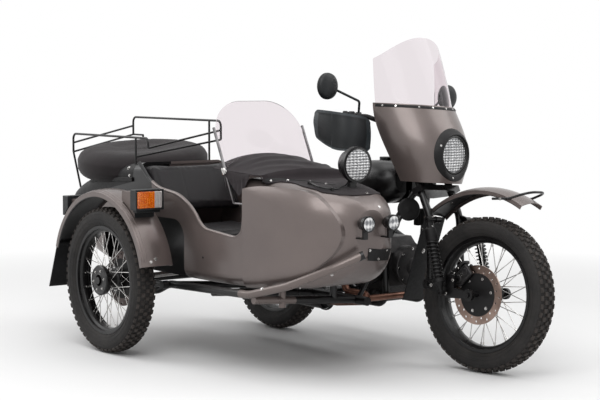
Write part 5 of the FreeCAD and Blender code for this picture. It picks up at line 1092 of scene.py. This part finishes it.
# The cockpit's cloth: humped over the screen's foot, then laid thin over the nose
# near and far give its two edges as (y, x); a fold has two ends, a width and a height
tonneauLook = {"back": -716.5, "front": -1393, "rows": 120, "columns": 64, "lift": 1.0, "thick": 0.0016,
               "inner": (-882.5, -384.5), "cutArea": 0.325,
               "near": [(-716, -884), (-1040, -884), (-1075, -860), (-1110, -790), (-1150, -766), (-1218, -772),
                        (-1321, -750), (-1379, -704), (-1394, -640)],
               "far": [(-716, -383), (-1040, -383), (-1080, -395), (-1120, -404), (-1218, -412), (-1280, -427),
                       (-1373, -468), (-1394, -540)],
               "folds": [((-870, -845), (-600, -905), 26, 6.5), ((-865, -900), (-560, -985), 22, 5.5),
                         ((-860, -960), (-640, -1040), 20, 4.0), ((-400, -800), (-600, -900), 24, 4.5),
                         ((-395, -900), (-560, -990), 24, 3.6), ((-870, -800), (-700, -770), 16, 3.5),
                         ((-740, -1120), (-560, -1190), 18, 2.2), ((-740, -1230), (-600, -1290), 16, 1.8)]}


def limitAt(line, y):
    for (ya, xa), (yb, xb) in zip(line, line[1:]):
        if yb <= y <= ya:
            s = (ya - y) / (ya - yb)
            return xa + (xb - xa) * (s * s * (3 - 2 * s))
    return line[-1][1] if y < line[-1][0] else line[0][1]


def foldAt(x, y):
    rise = 0.0
    for (xa, ya), (xb, yb), width, height in tonneauLook["folds"]:
        run = Vector((xb - xa, yb - ya))
        s = max(0.0, min(1.0, Vector((x - xa, y - ya)).dot(run) / run.length_squared))
        gap = (Vector((x - xa, y - ya)) - run * s).length
        rise += height * math.exp(-(gap / width) ** 2) * math.sin(math.pi * min(1, 0.25 + 0.75 * (1 - s))) ** 0.6
    return rise + 1.8 * noise.noise(Vector((x / 70 + y / 160, y / 34 - x / 90, 0.3)))


def heightAt(x, y):
    hit = castOn(at(x, y, 1300), Vector((0, 0, -1)), "tonneau_cover", "sidecar_tub")
    return hit[0].z * 1000 if hit else None


def areaOf(piece):
    # One side of a sheet that has both
    area = sum(p.area for p in piece.data.polygons) / 2
    print(piece.name, "has an area of", round(area, 4))


def tonneauCloth():
    look, low, high = tonneauLook, *tonneauLook["inner"]
    grid, rows, columns = [], look["rows"], look["columns"]
    for i in range(rows + 1):
        y = look["back"] + (look["front"] - look["back"]) * i / rows
        near, far = limitAt(look["near"], y), limitAt(look["far"], y)
        line = [[x, y, heightAt(min(max(x, low), high), y)]
                for x in (near + (far - near) * j / columns for j in range(columns + 1))]
        known = [k for k, p in enumerate(line) if p[2] is not None]
        for k, p in enumerate(line):
            if p[2] is None:
                p[2] = line[min(known, key=lambda m: abs(m - k))][2]
        grid.append(line)
    for _ in range(4):
        for i in range(1, rows):
            for j in range(columns + 1):
                mean = (grid[i - 1][j][2] + grid[i + 1][j][2]) / 2
                grid[i][j][2] = max(grid[i][j][2], 0.5 * grid[i][j][2] + 0.5 * mean)
    points = []
    for i, line in enumerate(grid):
        for j, (x, y, z) in enumerate(line):
            edge = min(1.0, min(j, columns - j) / 5, min(i, rows - i) / 4)
            points.append(at(x, y, z + look["lift"] + max(0.0, foldAt(x, y)) * edge))
    cloth = meshOf("tonneauCloth", points, gridFaces(rows, columns), 180, False)
    work = bmesh.new()
    work.from_mesh(cloth.data)
    work.normal_update()
    if sum(f.normal.z for f in work.faces) < 0:
        bmesh.ops.reverse_faces(work, faces=work.faces)
    work.to_mesh(cloth.data)
    work.free()
    smoothed(walled(cloth, look["thick"], 1.0), 60)
    wide = columns + 1
    edge = [points[i * wide] for i in range(0, rows + 1, 4)] + [points[rows * wide + j] for j in range(4, columns, 5)]
    edge += [points[i * wide + columns] for i in range(rows, -1, -4)]
    hem = tubeOf("tonneauHem", [p + Vector((0, 0, 0.0012)) for p in edge], 2.6, 8)
    dressed(cloth, "cloth", "chassis", "dark_cloth", "tonneau_cover")
    dressed(hem, "cloth", "chassis", "dark_cloth")
    areaOf(cloth)


tonneauCloth()
print("cockpit's cloth made")


# Headlamp's surround: the black cone between the fairing's skin and the lamp's ring
bezelLook = {"centre": (0, 945), "outer": 119, "middle": 108, "inner": 90, "screws": (38, 158, 262), "face": -1304,
             "steps": 96, "depth": (-1312, -1225), "unmet": -1262}


def headlampBezel():
    look, (cx, cz), points, screws = bezelLook, bezelLook["centre"], [], []
    outer, middle, inner, face = look["outer"], look["middle"], look["inner"], look["face"]
    for j in range(look["steps"]):
        a = 2 * math.pi * j / look["steps"]
        ca, sa = math.cos(a), math.sin(a)
        hit = castSteered(cx + outer * ca, -1500, cz + outer * sa, (0, 1, 0), "fairing")
        depth = measured(steered.inverted() @ hit[0])[1] if hit else look["unmet"]
        depth = max(min(depth, look["depth"][1]), look["depth"][0])
        for r, y in ((outer - 2, depth + 5), (outer, depth - 1), (outer - 2, depth - 4),
                     (middle, (depth + face) / 2 - 6), (inner + 3, face - 3), (inner, face - 1),
                     (inner - 3, face + 5)):
            points.append(steered @ at(cx + r * ca, y, cz + r * sa))
    bezel = meshOf("headlampBezel", points, loopFaces(look["steps"], 7), 35)
    dressed(bezel, "satinBlack", "steering", "black_paint")
    for a in look["screws"]:
        a, r = math.radians(a), middle - 4
        hit = castSteered(cx + r * math.cos(a), -1500, cz + r * math.sin(a), (0, 1, 0), "headlampBezel")
        if hit:
            screws.append(boltAt(hit[0] - hit[1] * 0.0006, hit[1], 3.6, 2.6))
    madeOf("bezelScrews", screws, 25, "brightSteel", "steering", "bare_steel")


headlampBezel()


# The strip under the windscreen with its screws, and the bead on the fairing's rear edge
trimLook = {"height": 1151, "screws": 9, "wide": 13, "thick": 1.6, "bead": 3.4, "beadFrom": 836, "step": 20}


def fairingEdge(z):
    # The rear edge of the fairing's left side at a height, looked for from the front backwards
    best = None
    for y in range(-1300, -940, 6):
        hit = castSteered(400, y, z, (-1, 0, 0), "fairing")
        if hit and (steered.inverted() @ hit[0]).x > 0:
            best = hit[0]
    return best


def fairingTrim():
    top, normals, z, step = [], [], trimLook["height"], trimLook["step"]
    rays = [(-400, y, (1, 0, 0)) for y in range(-985, -1125, -step)]
    rays += [(x, -1500, (0, 1, 0)) for x in range(-186, 190, step)]
    rays += [(400, y, (-1, 0, 0)) for y in range(-1110, -970, step)]
    for x, y, way in rays:
        hit = castSteered(x, y, z, way, "fairing")
        if hit and (not top or 0.006 < (hit[0] - top[-1]).length < 0.09):
            top.append(hit[0])
            normals.append(hit[1])
    normals = evened(normals, 3)
    strip = bandOf("fairingStrip", top, normals, trimLook["wide"], trimLook["thick"])
    dressed(strip, "rubber", "steering", "black_rubber")
    count = trimLook["screws"]
    places = [round((k + 0.5) / count * (len(top) - 1)) for k in range(count)]
    madeOf("fairingScrews", [boltAt(top[i] + normals[i] * 0.0014, normals[i], 3.4, 3) for i in places], 25,
           "brightSteel", "steering", "bare_steel")
    edge = [fairingEdge(z) for z in range(trimLook["beadFrom"], trimLook["height"] + 5, step)]
    bead = tubeOf("fairingBeadLeft", [p for p in edge if p], trimLook["bead"], 8)
    dressed(bead, "rubber", "steering", "black_rubber")


fairingTrim()


# Hand guards: one smooth pressed shell on each side, with a raised lip round it and a darker panel on it; the shell's
# lighter grey round the panel is a painted highlight on the lip
guardLook = {"low": 937, "high": 1117, "columns": 56, "rows": 30,
             "run": [(236, -1002), (300, -1010), (366, -1005), (404, -976), (420, -926), (424, -870), (422, -816)]}


def guardShell(side, thick, grow=0.0, shareIn=0.0):
    # Runs across the front, round the outer corner and back to the handle's end
    look, points = guardLook, []
    steps, rows = look["columns"], look["rows"]
    for i in range(steps + 1):
        t = shareIn + (1 - 2 * shareIn) * i / steps
        x, y = [splineAt([p[m] for p in look["run"]], t) for m in (0, 1)]
        toOut, toIn = max(0.0, (t - 0.5) / 0.5), max(0.0, (0.14 - t) / 0.14)
        low = look["low"] + 18 * toIn ** 2 + 64 * toOut ** 1.7 + 26 * max(0.0, (t - 0.93) / 0.07) ** 2
        high = look["high"] - 26 * (1 - t) ** 1.4 - 20 * toIn ** 2 - 20 * max(0.0, (t - 0.9) / 0.1) ** 2
        middle = (low + high) / 2
        low, high = low + shareIn * 100, high - shareIn * 100
        out = Vector((x - 250, y + 880, 0)).normalized() if toOut > 0.3 else Vector((0.15, -1, 0)).normalized()
        for j in range(rows + 1):
            v = j / rows
            z = low + (high - low) * v
            lip = 2.2 * (max(0.0, 1 - v / 0.08) + max(0.0, 1 - (1 - v) / 0.08))
            push = 7 * math.sin(math.pi * v) ** 0.8 + lip + grow - 7
            lean = 10 * (z - middle) / 90
            points.append(at(side * (x + out.x * push), y + out.y * push + lean * 0.6, z))
    faces = gridFaces(steps, rows)
    shell = meshOf("guard", points, faces if side > 0 else [(f[0], *f[:0:-1]) for f in faces], 180, False)
    return walled(shell, thick, -1.0)


def handGuards():
    panels = []
    for side in (-1, 1):
        panels.append(guardShell(side, 0.0016, 1.4, 0.1))
        edge = panels[-1].modifiers.new("edge", "BEVEL")
        edge.width, edge.segments, edge.limit_method = 0.0007, 2, "ANGLE"
        settled(panels[-1])
    madeOf("handGuardShells", [guardShell(side, 0.0034) for side in (-1, 1)], 40, "guardGrey", "steering",
           "black_plastic", "hand_guards", turned=True)
    madeOf("handGuardPanels", panels, 40, "plastic", "steering", "black_plastic", turned=True)


handGuards()
print("fairing trim and hand guards made")


# Mirrors: a domed shell in front, a rim, and glass towards the rider
mirrorLook = {"across": 418, "height": 1222, "steps": 64, "pieces": [
    ("mirrorBacks", -888, -1, "plastic", False,
     [(-2, 0.4), (-2, 57), (0, 59.4), (3, 59.6), (10, 58), (16, 52), (21, 42), (24, 28), (25, 14), (25.3, 0.4)]),
    ("mirrorRims", -884, 1, "rubber", True, [(3, 52), (3.6, 56), (2, 59.6), (-6, 60), (-8, 58), (-8, 52)]),
    ("mirrorGlasses", -884, 1, "mirror", False,
     [(-4.6, 0.4), (-4.6, 50), (-4.2, 53), (-2.6, 54), (-0.6, 54), (-0.6, 0.4)])]}
for name, y, facing, finish, loop, shape in mirrorLook["pieces"]:
    parts = [turnedPiece("part", shape, at(side * mirrorLook["across"], y, mirrorLook["height"]), (0, facing, 0),
                         mirrorLook["steps"], 40, loop) for side in (-1, 1)]
    madeOf(name, parts, 40, finish, "steering", "black_plastic", turned=True)


# Grips with ribs round them, and switch boxes beside them; the last box is on the left side alone
gripLook = {"end": (405, -828, 1088), "bend": (0.52, -117, 11), "ribs": 15, "first": 14, "step": 6.4, "box": 152,
            "rib": [(-1.6, 15.4), (-1, 17.4), (1, 17.4), (1.6, 15.4)],
            "boxes": [((0, 0, 0), (30, 44, 40), 6, 3), ((0, 24, 6), (9, 6, 12), 2, 2),
                      ((0, 24, -9), (14, 5, 7), 2, 2), ((-34, -34, 22), (46, 34, 26), 5, 3)]}


def gripSet():
    look, ribs, boxes = gripLook, [], []
    (x, y, z), (share, dy, dz) = look["end"], look["bend"]
    for side in (-1, 1):
        end, knee = Vector((side * x, y, z)), Vector((side * x * share, y + dy, z + dz))
        out = (end - knee).normalized()
        ribs += [turnedPiece("rib", look["rib"], at(*(end - out * (look["first"] + k * look["step"]))), out, 28, 30)
                 for k in range(look["ribs"])]
        place = end - out * look["box"]
        tilt = xAxis.rotation_difference(out).to_matrix().to_4x4()
        boxes += [blockOf(at(*(place + Vector(shift))), size, bevel, steps, tilt)
                  for shift, size, bevel, steps in look["boxes"][:4 if side > 0 else 3]]
    madeOf("gripRibs", ribs, 30, "rubber", "steering", "black_rubber", turned=True)
    madeOf("switchBoxes", boxes, 30, "plastic", "steering", "black_plastic", turned=True)


gripSet()


# Front brake: two halves on each side of the disc, a bridge outside it, and the bolts that hold them
caliperLook = {"tilt": -44, "spot": (74, 78), "over": (104, 110), "halves": ((-84, 20), (-50, 14)),
               "piston": [(0, 0.4), (0, 19), (5, 18), (6.4, 16), (6.4, 11), (5, 9.6), (5, 0.4)],
               "heads": ((-34, 44), (36, -24), (46, 62), (88, 12), (6, 8))}


def brakeCaliper():
    look, hub = caliperLook, Vector(stance["frontHub"])
    lean, spot, over = math.radians(look["tilt"]), hub + Vector((0, *look["spot"])), hub + Vector((0, *look["over"]))
    tilt = Matrix.Rotation(lean, 4, "X")
    parts = [blockOf(at(x, spot.y, spot.z), (wide, 98, 58), 8, 3, tilt) for x, wide in look["halves"]]
    parts.append(blockOf(at(-67, over.y, over.z), (48, 84, 14), 4, 3, tilt))
    for k in (-24, 22):
        p = spot + Vector((0, k * math.cos(lean), k * math.sin(lean)))
        parts.append(turnedPiece("piston", look["piston"], at(-93.6, p.y, p.z), (-1, 0, 0), 40, 30, False))
    madeOf("brakeCaliper", parts, 30, "darkAlloy", "steering", "dull_aluminium", turned=True)
    heads = [boltAt(at(-93.2, spot.y + dy * 0.5, spot.z + dz * 0.5), (-1, 0, 0), 4.6, 4.4) for dy, dz in look["heads"]]
    madeOf("caliperBolts", heads, 25, "brightSteel", "steering", "bare_steel", turned=True)


for label, body, _, hub, turned, _, across in wheels:
    dressed(boltRing(label + "DiscBolts", hub, across, 74, 5.2, 5, 0.3), "brightSteel", body, "bare_steel",
            turned=turned)
brakeCaliper()
boltsSeen("forkBolts", "steering",
          [(433.8, 216.7, 4.5), (431.5, 227.2, 6.5), (422.5, 229, 4), (423.1, 250.8, 8), (410.1, 256.7, 4.5),
           (431.1, 285), (445.6, 293.3), (452.6, 280)],
          ("front_fork", "leading_link", "front_flap", "front_brake_disc"), 6)
boltsSeen("fenderBolts", "steering", [(492, 203), (500, 199), (452, 203, 4)], ("front_fender", "fender_loop"), 5)
print("brake and fork bolts made")


# The sidecar's own trim
fenderLook = {"middle": (-110, 342), "beads": ((-1127, 2.6), (-1116, 2.2), (-1103, 2.2)), "from": 17, "to": 159,
              "steps": 56, "away": 600}


def fenderBeads():
    look, beads = fenderLook, []
    cy, cz = look["middle"]
    for x, r in look["beads"]:
        line = []
        for k in range(look["steps"] + 1):
            a = math.radians(look["from"] + (look["to"] - look["from"]) * k / look["steps"])
            way = Vector((0, -math.cos(a), math.sin(a)))
            hit = castOn(at(x, cy + way.y * look["away"], cz + way.z * look["away"]), -way, "sidecar_fender")
            if hit:
                line.append(hit[0])
        beads.append(tubeOf("bead", line, r, 8))
    madeOf("sideFenderBeads", beads, 50, "bodyPaint", "chassis", "body_paint")


def strapsOnNose():
    # The cloth's edge strap with its snaps, and the clip and bolt beside the lamp's cable
    cloth, tub = "tonneauCloth", "sidecar_tub"
    strap = bandSeen("edgeStrap", [(262, 181.5), (275, 179.5), (296, 180.2), (318, 182.4), (334, 185)], (cloth, tub),
                     15, 1.6, 36)
    dressed(strap, "rubber", "chassis", "dark_cloth")
    boltsSeen("strapSnaps", "chassis", [(271, 180.5), (288, 180.2), (310, 181.5), (326, 183.6)], ("edgeStrap",), 4.2,
              3)
    boltsSeen("noseBolts", "chassis", [(367, 193.4, 5.5), (379, 207, 4.5)], (cloth, tub), 5)
    plate = bandSeen("nosePlate", [(368, 254.5), (378, 255), (389, 254)], (tub,), 52, 2.4, 12, 0.4)
    dressed(plate, "satinBlack", "chassis", "black_paint")
    boltsSeen("nosePlateBolts", "chassis", [(370, 250.5), (387, 250.5), (378.5, 259)], ("nosePlate", tub), 4.4)
    boltsSeen("tubPlug", "chassis", [(203, 257.5, 6)], (tub,), 6, 2.4, "rubber", "black_rubber")
    boltsSeen("mouldingBolts", "chassis", [(332, 275, 4.5), (262, 289, 5), (300, 288, 4.5)], ("sidecar_frame", tub), 5)


fenderBeads()
boltsSeen("sideFenderBolts", "chassis", [(155.5, 259, 6.5), (151, 262, 5)],
          ("sidecar_fender", "sidecar_frame", "sidecar_tyre"), 6)
strapsOnNose()


# The cloth's near corner, which hangs down outside the cockpit's front edge
tailLook = {"from": -812, "to": -1000, "x": -887, "top": 884, "deep": 92, "lowest": -922, "cutArea": 0.0124,
            "across": 40, "down": 14, "thick": 0.0014}


def clothTail():
    look, points, lowest = tailLook, [], tailLook["lowest"]
    across, down = look["across"], look["down"]
    for i in range(across + 1):
        y = look["from"] + (look["to"] - look["from"]) * i / across
        reach = look["from"] - lowest if y > lowest else lowest - look["to"]
        drop = 12 + look["deep"] * max(0.0, 1 - abs(y - lowest) / reach) ** 0.9
        top = heightAt(-881, y) or look["top"]
        for j in range(down + 1):
            s = j / down
            z = top + 2.5 - drop * s
            hit = castOn(at(-1000, y, z), xAxis, "sidecar_tub")
            skin = measured(hit[0])[0] if hit else look["x"]
            x = min(look["x"], skin - 2.2) if skin < -840 else look["x"]
            x = x if s > 0.12 else x + 7 * (1 - s / 0.12)
            fold = 3.2 * math.sin(i * 0.46 + 0.5) * s + 1.5 * noise.noise(Vector((i * 0.3, j * 0.3, 2)))
            points.append(at(x - abs(fold) * s, y, z))
    tail = meshOf("clothTail", points, gridFaces(across, down), 180, False)
    dressed(smoothed(walled(tail, look["thick"], 0.0), 60), "cloth", "chassis", "dark_cloth")
    areaOf(tail)


clothTail()


# The chromed clip on the near bar and the strap loop below it, then what closes the lid
clipLook = {"spot": (-883, -806, 878), "lean": -26, "lever": 24, "loop": [(-2, 7), (-1, 9), (1, 9), (2, 7)]}


def screenClip():
    x, y, z = clipLook["spot"]
    lean, lever = [Matrix.Rotation(math.radians(clipLook[key]), 4, "X") for key in ("lean", "lever")]
    parts = [blockOf(at(x - 6, y, z), (12, 17, 30), 2.4, 2, lean),
             blockOf(at(x - 14, y - 9, z + 6), (4, 34, 10), 1.6, 2, lever),
             turnedPiece("loop", clipLook["loop"], at(x - 12, y - 20, z + 1), (1, 0, 0), 28, 40)]
    madeOf("screenClip", parts, 30, "brightSteel", "chassis", "bare_steel")


def lidFittings():
    # Toggle latches and straps on the lid's near side, and the bar they hook to
    bar = bandSeen("lidBar", [(92, 180.5), (104, 179.5), (118, 179), (133, 179.5)], ("trunk_lid", "sidecar_tub"),
                   20, 7, 20, 1.0)
    dressed(bar, "satinBlack", "trunk_lid_body", "black_paint")
    straps = [bandSeen("strap", dots, ("trunk_lid", "lidBar"), 9, 3, 16, 1.4)
              for dots in ([(99, 171), (104, 174), (110, 174), (116, 170)], [(101, 175), (107, 178), (114, 176)])]
    madeOf("lidStraps", straps, 40, "rubber", "trunk_lid_body", "black_rubber")
    boltsSeen("lidLatches", "trunk_lid_body", [(99, 170, 7), (129, 168, 7), (129.5, 175.5, 5.5), (110, 173, 4.5)],
              ("lidStraps", "lidBar", "trunk_lid"), 7, 6)


screenClip()
lidFittings()
print("sidecar's trim made")


# Engine: rocker covers with their studs, a front cover, and clamps along the exhaust
engineLook = {"head": (345, -890, 420), "front": (0, -1037, 420), "muffler": (262, 250), "clamps": (-738, -460, -184),
              "headCover": [(-1, 0.4), (-1, 60), (4, 60), (6, 57), (9, 52), (13, 44), (14, 30), (11, 26), (11, 0.4)],
              "frontCover": [(-1, 0.4), (-1, 92), (8, 92), (12, 88), (14, 76), (14, 40), (18, 34), (20, 24),
                             (20, 0.4)],
              "clamp": [(-9, 43.6), (-9, 46), (-7, 47.6), (7, 47.6), (9, 46), (9, 43.6)],
              "outlet": [(0, 0.4), (0, 20), (10, 20), (14, 17), (14, 14), (4, 13), (4, 0.4)]}


def engineDress():
    look, covers, studs, rings = engineLook, [], [], []
    x, y, z = look["head"]
    for side in (-1, 1):
        covers.append(turnedPiece("cover", look["headCover"], at(side * x, y, z), (side, 0, 0), 48, 30, False))
        covers += [blockOf(at(side * (x + 10), y, z - 20 + 20 * k), (7, 84, 4), 1.6, 2) for k in range(3)]
        for k in range(4):
            a = math.radians(45 + 90 * k)
            studs.append(boltAt(at(side * (x + 5), y + 54 * math.cos(a), z + 54 * math.sin(a)), (side, 0, 0), 5, 6))
    fx, fy, fz = look["front"]
    covers.append(turnedPiece("cover", look["frontCover"], at(fx, fy, fz), (0, -1, 0), 64, 30, False))
    for k in range(8):
        a = 2 * math.pi * k / 8
        studs.append(boltAt(at(82 * math.cos(a), fy - 13, fz + 82 * math.sin(a)), (0, -1, 0), 4.4, 5))
    madeOf("engineCovers", covers, 30, "darkAlloy", "chassis", "dull_aluminium")
    madeOf("engineStuds", studs, 25, "brightSteel", "chassis", "bare_steel")
    mx, mz = look["muffler"]
    for side in (-1, 1):
        rings += [turnedPiece("clamp", look["clamp"], at(side * mx, my, mz), (0, 1, 0), 56, 30)
                  for my in look["clamps"]]
        rings.append(turnedPiece("outlet", look["outlet"], at(side * mx, -150.6, mz), (0, 1, 0), 40, 30, False))
    madeOf("mufflerClamps", rings, 30, "darkAlloy", "chassis", "dull_aluminium")


engineDress()
print("engine dressed")


# Horn and regulator between the engine and the fork
clutterLook = {"spot": (-62, -1086, 690), "regulator": (40, -1076, 650), "fins": 9,
               "horn": [(0, 0.4), (0, 30), (4, 46), (9, 52), (13, 53), (16, 50), (18, 44), (17, 38), (19, 30),
                        (17, 20), (20, 10), (20, 0.4)]}


def frontClutter():
    look, horn = clutterLook, at(*clutterLook["spot"])
    x, y, z = look["regulator"]
    parts = [turnedPiece("horn", look["horn"], horn, (-0.45, -0.88, 0.1), 56, 35, False),
             blockOf(horn + Vector((0.022, 0.012, 0.05)), (10, 8, 74), 2.5, 2),
             blockOf(at(x, y, z), (92, 34, 76), 5, 3), blockOf(at(0, -1064, 668), (150, 6, 26), 2, 2)]
    parts += [blockOf(at(x - 40 + k * 10, y - 20, z), (2.6, 12, 70), 0.8, 1) for k in range(look["fins"])]
    madeOf("frontClutter", parts, 30, "satinBlack", "chassis", "black_paint")


frontClutter()


# Dials: a turned bezel, a pale scale on a dark face and a needle. Marks and needle are in metres
dialLook = {"height": 1025, "back": 22, "out": 0.042, "marks": 25, "turn": (-130, 260), "reach": 0.037,
            "rim": [(-6, 44.4), (-6, 46), (2, 46.4), (4, 45), (4, 42), (1.6, 40), (0.2, 40), (0.2, 44)],
            "face": [(0.2, 0.4), (1.2, 0.4), (1.2, 40), (0.2, 40)]}


def dialSet():
    look, out = dialLook, Vector((0, 1, 2)).normalized()
    y = stance["steerFoot"][1] + look["height"] * math.tan(math.radians(stance["steerLean"])) - look["back"]
    centre, up = at(0, y, look["height"]) + out * look["out"], out.cross(xAxis)
    dressed(turnedPiece("rim", look["rim"], centre, out, 64, 30), "darkAlloy", "steering", "black_paint", turned=True)
    dressed(turnedPiece("dialFace", look["face"], centre, out, 48, 30), "plastic", "steering", "black_paint",
            turned=True)
    marks, first, last, low = [], *look["turn"], centre + out * 0.0014
    for k in range(look["marks"]):
        a = math.radians(first + last * k / (look["marks"] - 1))
        way = xAxis * math.sin(a) + up * math.cos(a)
        long = 0.003 if k % 4 else 0.006
        marks.append(tubeOf("mark", [low + way * (look["reach"] - long), low + way * look["reach"]], 0.5, 4, "POLY"))
    high = centre + out * 0.0022
    marks.append(tubeOf("needle", [high, high + (up - xAxis) * 0.02], 0.8, 6, "POLY"))
    madeOf("dialMarks", marks, 40, "brightSteel", "steering", "bare_steel", turned=True)


dialSet()
print("horn and dials made")
